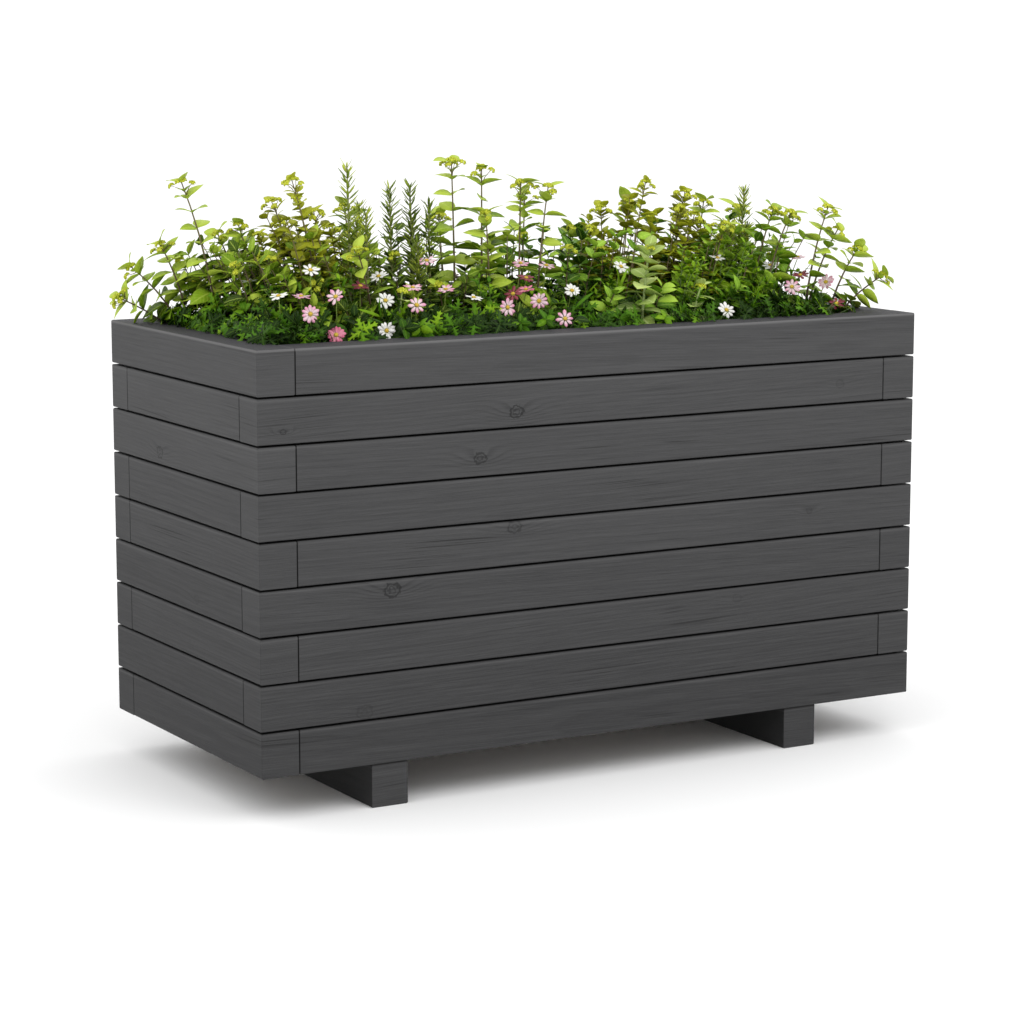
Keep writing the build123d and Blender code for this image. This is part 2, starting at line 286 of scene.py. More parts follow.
@dataclass(frozen=True)
class TimberFinish:
    """Brushed softwood with growth rings, fibres and knots, raw or under an opaque stain."""

    name: str
    grain: Grain
    knots: tuple[Knot, ...] = ()
    dark: Colour = (0.024, 0.024, 0.025)
    light: Colour = (0.074, 0.074, 0.075)
    # Below the two wood tones: a dark colour for the real cracks and knots that also paints the shade in the grooves,
    # the butt joints and on the feet under the box; a painted highlight for the boards' upper edges and the rim's edge;
    # painted shade for the rim's top.
    dark_mark_and_shade: Colour = (0.004, 0.004, 0.004)
    painted_highlight: Colour = (0.125, 0.123, 0.124)
    top: Colour = (0.031, 0.028, 0.036)
    ring_pitch: float = 0.0058
    roughness: float = 0.68
    fibre_scale: tuple[float, float] = (9.0, 820.0)
    streak_scale: tuple[float, float] = (1.8, 110.0)
    line_scale: tuple[float, float] = (3.2, 300.0)
    patch_scale: tuple[float, float] = (4.5, 26.0)
    # How far and how strongly shade is painted into the grooves and the butt joints, and on the feet's sides under the
    # box.
    groove_shade_reach: tuple[float, float] = (0.0008, 0.0002)
    joint_shade_reach: tuple[float, float] = (0.0013, 0.0006)
    groove_shade_strength: float = 0.85
    joint_shade_strength: float = 0.8
    foot_shade: float = 0.72

    def material(self) -> bpy.types.Material:
        """Build the timber's nodes.

        Returns:
            The material.
        """
        graph = Graph(self.name)
        board = self.board(graph)
        marks, flow = self.knot_marks(graph, board.along, board.z, board.side)
        late = self.late_wood(graph, board, flow)

        # Fine fibres, long soft streaks, and thin dark lines that run a little out of the board
        slope = graph.math("MULTIPLY_ADD", board.second, 0.07, -0.035)
        sloping = graph.math("MULTIPLY_ADD", slope, board.level, board.z)
        place = graph.join(board.level, graph.math("MULTIPLY", board.inward, board.flat), sloping)
        fibres = self.drawn_out(graph, place, self.fibre_scale, 5.0, 0.85)
        streaks = self.drawn_out(graph, place, self.streak_scale, 4.0, 0.65)
        lines = self.drawn_out(graph, place, self.line_scale, 2.0, 0.5)
        patches = self.drawn_out(graph, place, self.patch_scale, 2.0, 0.5)
        cracks = graph.math("MULTIPLY", graph.spread(lines, 0.585, 0.68), graph.spread(patches, 0.5, 0.64))

        tone = graph.math("MULTIPLY", late, graph.math("MULTIPLY_ADD", flow, -0.25, -0.09))
        tone = graph.math("MULTIPLY_ADD", graph.spread(fibres, 0.3, 0.7), 0.5, tone)
        tone = graph.math("MULTIPLY_ADD", graph.spread(streaks, 0.25, 0.75), 0.17, tone)
        tone = graph.math("MULTIPLY_ADD", graph.math("SUBTRACT", board.first, 0.5), 0.1, graph.math("ADD", tone, 0.165))
        # Painted shade: the timber darker towards the bottom, and more so on the faces that look along X.
        painted_low_shade = graph.math("MULTIPLY_ADD", board.faces_x, -0.16, -0.27)
        tone = graph.math("MULTIPLY_ADD", graph.spread(board.z, RIM, 0.1), painted_low_shade, graph.math("ADD", tone, 0.05))
        colour = graph.mix(tone, self.dark, self.light)
        hurt = graph.math("MAXIMUM", graph.math("MULTIPLY", cracks, 0.6), graph.math("MULTIPLY", marks, 0.7))
        colour = graph.mix(hurt, colour, self.dark_mark_and_shade)
        # Painted shade in the grooves, the joints and under the box; painted shade on the rim's top and painted
        # highlights on the edges.
        colour = self.painted_shade(graph, board, colour)
        colour = self.painted_top_and_edge_light(graph, board, streaks, colour)

        height = graph.math("MULTIPLY_ADD", late, 0.3, graph.math("MULTIPLY", fibres, 0.8))
        height = graph.math("MULTIPLY_ADD", hurt, -0.7, height)
        return graph.finish(
            Base_Color=colour,
            Roughness=graph.math("MULTIPLY_ADD", fibres, 0.14, self.roughness - 0.07),
            Normal=graph.bump(height, 0.5, 0.0010),
            Specular_IOR_Level=0.25,
        )

    def board(self, graph: Graph) -> BoardPlace:
        """Tell the boards apart by course and side, and find the point's place in its board.

        Args:
            graph: The material.

        Returns:
            The place.
        """
        x, y, z = graph.axes(graph.place())
        normal = graph.axes(graph.node("NewGeometry").outputs["Normal"])
        faces_x, faces_y, flat = (graph.math("ABSOLUTE", part) for part in normal)
        if self.grain is Grain.ALONG_X:
            along, across, half_along, half_across, lengthwise = x, y, HALF_LENGTH, HALF_WIDTH, faces_x
        else:
            along, across, half_along, half_across, lengthwise = y, x, HALF_WIDTH, HALF_LENGTH, faces_y
        steps = graph.math("DIVIDE", graph.math("SUBTRACT", z, TIMBER_HIGH - 0.0012), COURSE_PITCH)
        course = graph.math("FLOOR", steps)
        side = graph.math("SIGN", across)
        draws = graph.node("TexWhiteNoise", {"Vector": graph.join(course, side, half_across)})
        first, second, _ = list(graph.node("SeparateColor", {0: draws.outputs["Color"]}).outputs)
        outer = graph.math("ABSOLUTE", across)
        return BoardPlace(
            z=z,
            along=along,
            level=graph.math("ADD", x, y),
            inward=graph.math("SUBTRACT", outer, half_across - TIMBER_THICK / 2),
            up=graph.math("MULTIPLY", graph.math("SUBTRACT", graph.math("FRACT", steps), 0.5), COURSE_PITCH),
            from_end=graph.math("SUBTRACT", half_along, graph.math("ABSOLUTE", along)),
            inner_face=graph.math("SUBTRACT", outer, half_across - TIMBER_THICK),
            course=course,
            side=side,
            first=first,
            second=second,
            faces_x=faces_x,
            lengthwise=lengthwise,
            flat=flat,
        )

    def late_wood(self, graph: Graph, board: BoardPlace, flow: Input) -> Input:
        """Growth rings round a heart that lies outside the board.

        Args:
            graph: The material.
            board: The point's place.
            flow: How much the rings bend here.

        Returns:
            How dark the rings are, from 0 to 1.
        """
        end = graph.spread(board.lengthwise, 0.5, 0.8)
        heart_in = graph.math("MULTIPLY_ADD", board.first, 0.16, -0.08)
        heart_up = graph.math("MULTIPLY_ADD", board.second, 0.12, -0.125)
        ring_in = graph.math("POWER", graph.math("SUBTRACT", board.inward, heart_in), 2.0)
        ring_up = graph.math("POWER", graph.math("SUBTRACT", board.up, heart_up), 2.0)
        radius = graph.math("SQRT", graph.math("ADD", ring_in, ring_up))
        slow = graph.math("MULTIPLY", board.along, 0.4)
        drift = graph.noise(graph.join(slow, graph.math("ADD", board.inward, board.course), board.up), 7.0, 2.0)
        radius = graph.math("MULTIPLY_ADD", drift, 0.014, radius)
        radius = graph.math("MULTIPLY_ADD", flow, 0.016, radius)
        rings = graph.math("FRACT", graph.math("DIVIDE", radius, self.ring_pitch))
        late = graph.math("MULTIPLY", graph.spread(rings, 0.35, 0.9), graph.spread(rings, 1.0, 0.93))
        return graph.math("MULTIPLY", late, graph.math("MULTIPLY_ADD", end, -0.8, 1.0))

    def painted_shade(self, graph: Graph, board: BoardPlace, colour: Input) -> Input:
        """Paint shade on the edges into the grooves and the butt joints, and on the feet's sides under the box.

        Args:
            graph: The material.
            board: The point's place.
            colour: The colour so far.

        Returns:
            The new colour.
        """
        # Painted shade on the rounded edges beside the grooves between the courses, stopping short of the rim.
        below_rim = graph.spread(board.z, RIM - 0.0055, RIM - 0.008)
        starts, ends = (TIMBER_HIGH / 2 - reach for reach in self.groove_shade_reach)
        edge = graph.spread(graph.math("ABSOLUTE", board.up), starts, ends)
        edge = graph.math("MULTIPLY", edge, graph.math("MULTIPLY", below_rim, self.groove_shade_strength))
        # Painted shade at the butt joints, on the board ends and on the edges beside them.
        inner = graph.math("GREATER_THAN", board.from_end, TIMBER_THICK / 2)
        butt = graph.math("MULTIPLY", graph.spread(board.lengthwise, 0.02, 0.2), inner)
        block_edge = graph.spread(graph.math("ABSOLUTE", board.inner_face), *self.joint_shade_reach)
        block = graph.math("MULTIPLY", block_edge, graph.spread(board.lengthwise, 0.3, 0.6))
        joint = graph.math("MULTIPLY", graph.math("MAXIMUM", butt, block), self.joint_shade_strength)
        colour = graph.mix(graph.math("MAXIMUM", edge, joint), colour, self.dark_mark_and_shade)
        # Painted shade on the feet's sides under the box.
        under = graph.math("MULTIPLY", graph.spread(board.z, TIMBER_HIGH + 0.002, TIMBER_HIGH), board.faces_x)
        return graph.mix(graph.math("MULTIPLY", under, self.foot_shade), colour, self.dark_mark_and_shade)

    def painted_top_and_edge_light(self, graph: Graph, board: BoardPlace, streaks: Input, colour: Input) -> Input:
        """Paint shade on the rim's top, and highlights on the boards' upper edges and the rim's edges.

        Args:
            graph: The material.
            board: The point's place.
            streaks: The long soft streaks.
            colour: The colour so far.

        Returns:
            The new colour.
        """
        # Painted shade on the rim's flat top.
        at_top = graph.spread(board.z, RIM - 0.003, RIM - 0.001)
        top = graph.math("MULTIPLY", graph.spread(board.flat, 0.9, 0.99), at_top)
        colour = graph.mix(graph.math("MULTIPLY", top, 0.6), colour, self.top)
        # Painted highlight along the upper edge of each course, broken up by the streaks.
        course_highlight = graph.math("MULTIPLY", graph.spread(board.up, 0.0262, 0.0287), graph.spread(board.up, 0.0305, 0.0295))
        course_highlight = graph.math("MULTIPLY", course_highlight, graph.spread(streaks, 0.3, 0.7, (0.04, 0.28)))
        colour = graph.mix(course_highlight, colour, self.painted_highlight)
        # Painted highlight on the rim's rounded outer edge.
        at_edge = graph.spread(board.z, RIM - 0.0045, RIM - 0.002)
        edge = graph.math("MULTIPLY", at_edge, graph.spread(board.flat, 0.97, 0.8))
        return graph.mix(graph.math("MULTIPLY", edge, 0.8), colour, self.painted_highlight)

    def drawn_out(
        self, graph: Graph, place: Input, scale: tuple[float, float], detail: float, rough: float
    ) -> bpy.types.NodeSocket:
        """Noise drawn out along the fibres.

        Args:
            graph: The material.
            place: The distance along the fibres, into the wall and up.
            scale: Cells to the metre along the fibres and across them.
            detail: How many octaves.
            rough: How strong the finer octaves are.

        Returns:
            The socket with the noise.
        """
        along, across = scale
        return graph.noise(graph.scaled(place, along, across, across), 1.0, detail, rough)

    def knot_marks(self, graph: Graph, along: Input, z: Input, side: Input) -> tuple[Input, Input]:
        """How dark the knots are here, and how much the rings bend round them.

        The walls at the back and on the right carry the same knots two courses lower.

        Args:
            graph: The material.
            along: The distance along the wall.
            z: The height.
            side: -1 on the front and left walls, 1 on the others.

        Returns:
            The darkness and the bend.
        """
        z = graph.math("ADD", z, graph.math("MULTIPLY_ADD", side, COURSE_PITCH, COURSE_PITCH))
        wobble = graph.math("SUBTRACT", graph.noise(graph.join(along, 0.0, z), 150.0, 3.0), 0.5)
        marks: Input = 0.0
        flow: Input = 0.0
        for knot in self.knots:
            off = graph.math("DIVIDE", graph.math("SUBTRACT", along, knot.along), knot.radius)
            high = graph.math("DIVIDE", graph.math("SUBTRACT", z, knot.high), knot.radius)
            far = graph.math("POWER", graph.math("DIVIDE", off, 1.25), 2.0)
            far = graph.math("SQRT", graph.math("ADD", far, graph.math("POWER", high, 2.0)))
            far = graph.math("MULTIPLY_ADD", wobble, 1.5, far)
            outline = graph.spread(graph.math("ABSOLUTE", graph.math("SUBTRACT", far, 1.0)), 0.3, 0.05)
            inner = graph.spread(graph.math("ABSOLUTE", graph.math("SUBTRACT", far, 0.45)), 0.2, 0.03, (0.0, 0.8))
            mark = graph.math("MULTIPLY", graph.math("MAXIMUM", outline, inner), knot.strength)
            marks = graph.math("MAXIMUM", marks, mark)
            wide = graph.math("POWER", graph.math("DIVIDE", off, 5.5), 2.0)
            tall = graph.math("POWER", graph.math("DIVIDE", high, 1.9), 2.0)
            bend = graph.math("EXPONENT", graph.math("MULTIPLY", graph.math("ADD", wide, tall), -1.0))
            flow = graph.math("MULTIPLY_ADD", bend, knot.strength, flow)
        return marks, flow


@dataclass(frozen=True)
class LinerFinish:
    """Black woven ground-cover sheet: flat tapes crossing over and under."""

    name: str = "liner_weave"
    tape: float = 0.0024
    dark: Colour = (0.012, 0.012, 0.013)
    light: Colour = (0.035, 0.035, 0.037)

    def material(self) -> bpy.types.Material:
        """Build the weave's nodes.

        Returns:
            The material.
        """
        graph = Graph(self.name)
        x, y, z = graph.axes(graph.place())
        flat = graph.math("ADD", x, y)
        across, up = (
            graph.math("DIVIDE", graph.math("PINGPONG", place, self.tape), self.tape) for place in (flat, z)
        )
        checker = graph.node("TexChecker", {"Vector": graph.join(flat, z, 0.0), "Scale": 1.0 / self.tape})
        weave = graph.mix(checker.outputs["Fac"], across, up)
        return graph.finish(
            Base_Color=graph.mix(weave, self.dark, self.light),
            Roughness=graph.math("MULTIPLY_ADD", weave, -0.2, 0.6),
            Normal=graph.bump(weave, 0.6, 0.0006),
        )


@dataclass(frozen=True)
class CompostFinish:
    """Moist crumbly compost, dark with paler fibres."""

    name: str = "moist_compost"
    dark: Colour = (0.007, 0.005, 0.003)
    light: Colour = (0.042, 0.026, 0.015)
    fibre: Colour = (0.10, 0.066, 0.036)

    def material(self) -> bpy.types.Material:
        """Build the compost's nodes.

        Returns:
            The material.
        """
        graph = Graph(self.name)
        place = graph.place()
        lumps = graph.noise(place, 120.0, 5.0, 0.7)
        grit = graph.node("TexVoronoi", {"Vector": place, "Scale": 330.0}).outputs["Distance"]
        fibres = graph.noise(graph.scaled(place, 90.0, 700.0, 300.0), 1.0)
        colour = graph.mix(graph.spread(lumps, 0.35, 0.75), self.dark, self.light)
        colour = graph.mix(graph.spread(fibres, 0.68, 0.76, (0.0, 0.5)), colour, self.fibre)
        height = graph.math("MULTIPLY_ADD", grit, 0.4, lumps)
        return graph.finish(
            Base_Color=colour,
            Roughness=0.92,
            Normal=graph.bump(height, 0.9, 0.004),
            Specular_IOR_Level=0.25,
        )


@dataclass(frozen=True)
class SteelFinish:
    """Zinc-plated fixings, faintly mottled."""

    name: str = "zinc_plated_steel"
    dull: Colour = (0.48, 0.47, 0.44)
    bright: Colour = (0.62, 0.60, 0.52)

    def material(self) -> bpy.types.Material:
        """Build the plating's nodes.

        Returns:
            The material.
        """
        graph = Graph(self.name)
        mottle = graph.noise(graph.place(), 600.0, 3.0)
        return graph.finish(
            Base_Color=graph.mix(mottle, self.dull, self.bright),
            Metallic=1.0,
            Roughness=graph.math("MULTIPLY_ADD", mottle, 0.25, 0.28),
        )


@dataclass(frozen=True)
class LeafFinish:
    """A leaf with a pale midrib, side veins, soft mottling and a colour of its own on each leaf."""

    name: str
    deep: Colour
    middle: Colour
    bright: Colour
    vein: Colour
    veins: float = 7.0
    roughness: float = 0.5
    vein_strength: float = 0.45

    def material(self) -> bpy.types.Material:
        """Build the leaf's nodes. Its map runs across the leaf in U and from stalk to tip in V.

        Returns:
            The material.
        """
        graph = Graph(self.name)
        shade = graph.node("Attribute", attribute_name="shade").outputs["Fac"]
        u, v, _ = graph.axes(graph.node("UVMap", uv_map="UVMap").outputs["UV"])
        off = graph.math("ABSOLUTE", graph.math("SUBTRACT", u, 0.5))
        rib = graph.spread(off, 0.075, 0.012)
        slanted = graph.math("MULTIPLY", graph.math("SUBTRACT", v, graph.math("MULTIPLY", off, 0.55)), self.veins)
        side = graph.spread(graph.math("PINGPONG", slanted, 0.5), 0.12, 0.02)
        lines = graph.math("MAXIMUM", rib, graph.math("MULTIPLY", side, 0.6))
        mottle = graph.noise(graph.place(), 260.0, 3.0)
        blend = graph.math("ADD", shade, graph.math("MULTIPLY_ADD", mottle, 0.4, -0.2))
        colour = graph.mix(graph.spread(blend, 0.0, 0.55), self.deep, self.middle)
        colour = graph.mix(graph.spread(blend, 0.45, 1.0), colour, self.bright)
        colour = graph.mix(graph.math("MULTIPLY", lines, self.vein_strength), colour, self.vein)
        height = graph.math("MULTIPLY_ADD", lines, -0.5, mottle)
        return graph.finish(
            Base_Color=colour,
            Roughness=graph.math("MULTIPLY_ADD", mottle, 0.2, self.roughness - 0.1),
            Normal=graph.bump(height, 0.3, 0.0008),
            Specular_IOR_Level=0.1,
        )


@dataclass(frozen=True)
class StemFinish:
    """A soft stem, streaked along its height and greener towards the top."""

    name: str
    low: Colour
    high: Colour

    def material(self) -> bpy.types.Material:
        """Build the stem's nodes.

        Returns:
            The material.
        """
        graph = Graph(self.name)
        place = graph.place()
        _, _, z = graph.axes(place)
        streaks = graph.noise(graph.scaled(place, 900.0, 900.0, 40.0), 1.0)
        height = graph.spread(graph.math("MULTIPLY_ADD", streaks, 0.06, z), RIM - 0.02, RIM + 0.19)
        colour = graph.mix(height, self.low, self.high)
        colour = graph.mix(graph.math("MULTIPLY", streaks, 0.5), colour, self.low)
        return graph.finish(Base_Color=colour, Roughness=0.6, Normal=graph.bump(streaks, 0.3, 0.0004))


@dataclass(frozen=True)
class PetalFinish:
    """A petal with fine lengthwise lines, its colour running from the eye to the tip."""

    name: str
    base: Colour
    middle: Colour
    tip: Colour

    def material(self) -> bpy.types.Material:
        """Build the petal's nodes. Its map runs across the petal in U and from the eye to the tip in V.

        Returns:
            The material.
        """
        graph = Graph(self.name)
        shade = graph.node("Attribute", attribute_name="shade").outputs["Fac"]
        u, v, _ = graph.axes(graph.node("UVMap", uv_map="UVMap").outputs["UV"])
        lines = graph.math("PINGPONG", graph.math("MULTIPLY", u, 5.0), 0.5)
        reach = graph.math("MULTIPLY_ADD", graph.math("SUBTRACT", shade, 0.5), 0.5, v)
        colour = graph.mix(graph.spread(v, 0.04, 0.26), self.base, self.middle)
        colour = graph.mix(graph.spread(reach, 0.3, 0.95), colour, self.tip)
        colour = graph.mix(graph.math("MULTIPLY", lines, 0.16), colour, self.tip)
        return graph.finish(Base_Color=colour, Roughness=0.55, Normal=graph.bump(lines, 0.35, 0.0005))


@dataclass(frozen=True)
class EyeFinish:
    """Tightly packed tiny florets: a daisy's eye, or the heads of the tall herbs."""

    name: str
    dark: Colour
    light: Colour
    scale: float = 1500.0

    def material(self) -> bpy.types.Material:
        """Build the florets' nodes.

        Returns:
            The material.
        """
        graph = Graph(self.name)
        place = graph.place()
        cells = graph.node("TexVoronoi", {"Vector": place, "Scale": self.scale}).outputs["Distance"]
        wide = graph.noise(place, 180.0, 2.0)
        uneven = graph.math("MULTIPLY_ADD", wide, 0.8, -0.3)
        blend = graph.math("ADD", graph.spread(cells, 0.6, 0.1, (0.0, 0.7)), uneven)
        return graph.finish(
            Base_Color=graph.mix(blend, self.dark, self.light),
            Roughness=0.7,
            Normal=graph.bump(cells, -0.7, 0.0007),
        )


# ---------------------------------------------------------------- shapes that are copied


class Template:
    """A small mesh that is copied many times into a piece."""

    def __init__(self, bm: bmesh.types.BMesh, name: str) -> None:
        """Keep a finished bmesh as the shape to copy.

        Args:
            bm: The shape, freed afterwards.
            name: A name for its mesh.
        """
        for face in bm.faces:
            face.smooth = True
        self.mesh = bpy.data.meshes.new(name)
        bm.to_mesh(self.mesh)
        bm.free()
        count = len(self.mesh.vertices)
        self.rest = np.empty(count * 3, np.float32)
        self.mesh.vertices.foreach_get("co", self.rest)
        self.shade = self.mesh.attributes.new("shade", "FLOAT", "POINT")

    def copy_into(self, target: bmesh.types.BMesh, place: Matrix, shade: float) -> None:
        """Add a copy to a bmesh.

        Args:
            target: What the copy is added to.
            place: Where it goes.
            shade: The copy's own shade, from 0 to 1.
        """
        self.mesh.attributes["shade"].data.foreach_set("value", [shade] * len(self.mesh.vertices))
        self.mesh.transform(place)
        target.from_mesh(self.mesh)
        self.mesh.vertices.foreach_set("co", self.rest)


@dataclass(frozen=True)
class Blade:
    """A leaf, petal or needle: a grid drawn in to an outline, folded along its rib and bent down."""

    name: str
    length: float
    width: float
    widest: float = 0.42
    blunt: float = 0.8
    fold: float = 0.25
    droop: float = 0.25
    rows: int = 5
    columns: int = 2
    thickness: float = 0.0004
    lobes: tuple[int, ...] = ()
    lobe_reach: float = 0.0

    def half_width(self, along: float) -> float:
        """Half the blade's width.

        Args:
            along: How far from the stalk, from 0 to 1.

        Returns:
            Half the width there, in metres.
        """
        power = math.log(0.5) / math.log(self.widest)
        return self.width / 2 * max(math.sin(math.pi * along**power), 0.0) ** self.blunt

    def shape(self) -> bmesh.types.BMesh:
        """Make the blade lying along +Y with its face up, its stalk at the origin.

        Returns:
            The closed blade.
        """
        bm = bmesh.new()
        bm.loops.layers.uv.new("UVMap")
        bmesh.ops.create_grid(bm, x_segments=self.columns, y_segments=self.rows, size=0.5, calc_uvs=True)
        for edge in self.lobe_edges(bm):
            self.draw_lobe(bm, edge)
        for vert in bm.verts:
            across, along = vert.co.x * 2, min(max(vert.co.y + 0.5, 0.0), 1.0)
            half = self.half_width(along)
            out = across * half
            if abs(across) > 1.0:
                out = math.copysign(half + (abs(across) - 1.0) * self.lobe_reach * (1.15 - along), across)
            lift = self.fold * abs(out) - self.droop * self.length * along**2
            vert.co = Vector((out, along * self.length, lift))
        bmesh.ops.remove_doubles(bm, verts=bm.verts, dist=self.width * 0.02)
        bmesh.ops.recalc_face_normals(bm, faces=bm.faces)
        bmesh.ops.solidify(bm, geom=list(bm.faces), thickness=self.thickness)
        bmesh.ops.recalc_face_normals(bm, faces=bm.faces)
        return bm

    def lobe_edges(self, bm: bmesh.types.BMesh) -> list[bmesh.types.BMEdge]:
        """The side edges of the rows that carry lobes."""
        found = []
        for edge in bm.edges:
            first, second = edge.verts
            on_side = abs(first.co.x) > 0.49 and abs(second.co.x) > 0.49 and first.co.x * second.co.x > 0
            row = int(((first.co.y + second.co.y) / 2 + 0.5) * self.rows)
            if on_side and row in self.lobes:
                found.append(edge)
        return found

    def draw_lobe(self, bm: bmesh.types.BMesh, edge: bmesh.types.BMEdge) -> None:
        """Pull a pointed lobe out of a side edge.

        Args:
            bm: The flat grid.
            edge: The side edge.
        """
        side = math.copysign(1.0, edge.verts[0].co.x)
        made = bmesh.ops.extrude_edge_only(bm, edges=[edge])["geom"]
        tips = [item for item in made if isinstance(item, bmesh.types.BMVert)]
        middle = sum((tip.co for tip in tips), Vector()) / len(tips)
        bmesh.ops.translate(bm, verts=tips, vec=(side * 0.5, 0.6 / self.rows, 0.0))
        moved = middle + Vector((side * 0.5, 0.6 / self.rows, 0.0))
        bmesh.ops.scale(bm, verts=tips, vec=(1.0, 0.35, 1.0), space=Matrix.Translation(-moved))

    def template(self) -> Template:
        """The blade as a shape to copy."""
        return Template(self.shape(), self.name)


def aim(point: Vector, forward: Vector, upward: Vector, scale: float = 1.0) -> Matrix:
    """A place with its Y axis along one direction and its Z axis near another.

    Args:
        point: Where the place is.
        forward: Where its Y axis points.
        upward: What its Z axis leans to.
        scale: Its size.

    Returns:
        The matrix.
    """
    y_axis = forward.normalized()
    x_axis = y_axis.cross(upward)
    x_axis = x_axis.normalized() if x_axis.length > 1e-6 else y_axis.orthogonal().normalized()
    z_axis = x_axis.cross(y_axis)
    turn = Matrix((x_axis, y_axis, z_axis)).transposed().to_4x4()
    return Matrix.Translation(point) @ turn @ Matrix.Scale(scale, 4)


@dataclass(frozen=True)
class Stem:
    """A stem that rises from its foot and leans to its tip."""

    foot: Vector
    tip: Vector
    thick: float
    bend_out: float = 0.22
    bend_up: float = 0.55

    def bend(self) -> Vector:
        """The control point: half of the way up, still nearly over the foot."""
        lean = self.tip - self.foot
        return self.foot + Vector((lean.x * self.bend_out, lean.y * self.bend_out, lean.z * self.bend_up))

    def point(self, t: float) -> Vector:
        """The point a share t of the way up."""
        return self.foot * (1 - t) ** 2 + self.bend() * (2 * t * (1 - t)) + self.tip * t**2

    def heading(self, t: float) -> Vector:
        """The direction of growth a share t of the way up."""
        return ((self.bend() - self.foot) * (1 - t) + (self.tip - self.bend()) * t).normalized()


class Piece:
    """One piece of planting: copies of templates gathered into one mesh."""

    def __init__(self, name: str) -> None:
        """Start an empty piece."""
        self.name = name
        self.bm = bmesh.new()

    def add(self, template: Template, place: Matrix, shade: float) -> None:
        """Add a copy of a template."""
        template.copy_into(self.bm, place, shade)

    def finish(self, materials: Sequence[bpy.types.Material], slot: str, *stands_for: str) -> bpy.types.Object:
        """Make the object and fix it to the model.

        Args:
            materials: Its materials, in the order of its faces' numbers.
            slot: The record's material slot.
            stands_for: The plain nodes that it replaces.

        Returns:
            The finished object.
        """
        mesh = bpy.data.meshes.new(self.name)
        self.bm.to_mesh(mesh)
        self.bm.free()
        return mount(mesh, self.name, materials, slot, *stands_for)


def mount(
    mesh: bpy.types.Mesh, name: str, materials: Sequence[bpy.types.Material], slot: str, *stands_for: str
) -> bpy.types.Object:
    """Show a mesh as a piece that rides on the planter.

    Args:
        mesh: The mesh, with its place in its vertices.
        name: The piece's name.
        materials: Its materials.
        slot: The record's material slot; not used.
        stands_for: The plain nodes that it replaces.

    Returns:
        The object.
    """
    for material in materials:
        mesh.materials.append(material)
    piece = bpy.data.objects.new(name, mesh)
    bpy.context.scene.collection.objects.link(piece)
    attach(piece, BODY)
    if stands_for:
        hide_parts(*stands_for)
    LOG.info("%s: %d faces", name, len(mesh.polygons))
    return piece


@dataclass
class StemBundle:
    """All the stems of one finish, drawn as tapered curves and made one mesh."""

    name: str
    sides: int = 1
    taper: float = 0.55
    paths: list[tuple[list[Vector], list[float]]] = field(default_factory=list)

    def add(self, stem: Stem, until: float = 1.0, steps: int = 7) -> None:
        """Add a stem.

        Args:
            stem: Its path.
            until: How far up it is drawn.
            steps: How many points it gets.
        """
        shares = [until * index / (steps - 1) for index in range(steps)]
        radii = [stem.thick * (1.0 - self.taper * share) for share in shares]
        self.paths.append(([stem.point(share) for share in shares], radii))

    def finish(self, material: bpy.types.Material, slot: str, *stands_for: str) -> bpy.types.Object:
        """Turn the stems into one piece.

        Args:
            material: Their finish.
            slot: The record's material slot.
            stands_for: The plain nodes that it replaces.

        Returns:
            The finished object.
        """
        curve = bpy.data.curves.new(self.name + "_line", "CURVE")
        curve.dimensions = "3D"
        curve.bevel_depth = 1.0
        curve.bevel_resolution = self.sides
        curve.use_fill_caps = True
        for points, radii in self.paths:
            spline = curve.splines.new("POLY")
            spline.points.add(len(points) - 1)
            for place, point, radius in zip(spline.points, points, radii):
                place.co = (*point, 1.0)
                place.radius = radius
        holder = bpy.data.objects.new(self.name + "_line", curve)
        bpy.context.scene.collection.objects.link(holder)
        bpy.context.view_layer.update()
        mesh = bpy.data.meshes.new_from_object(holder)
        mesh.name = self.name
        bpy.data.objects.remove(holder)
        bpy.data.curves.remove(curve)
        mesh.materials.clear()
        for face in mesh.polygons:
            face.use_smooth = True
        return mount(mesh, self.name, [material], slot, *stands_for)


# ---------------------------------------------------------------- the planter's own parts


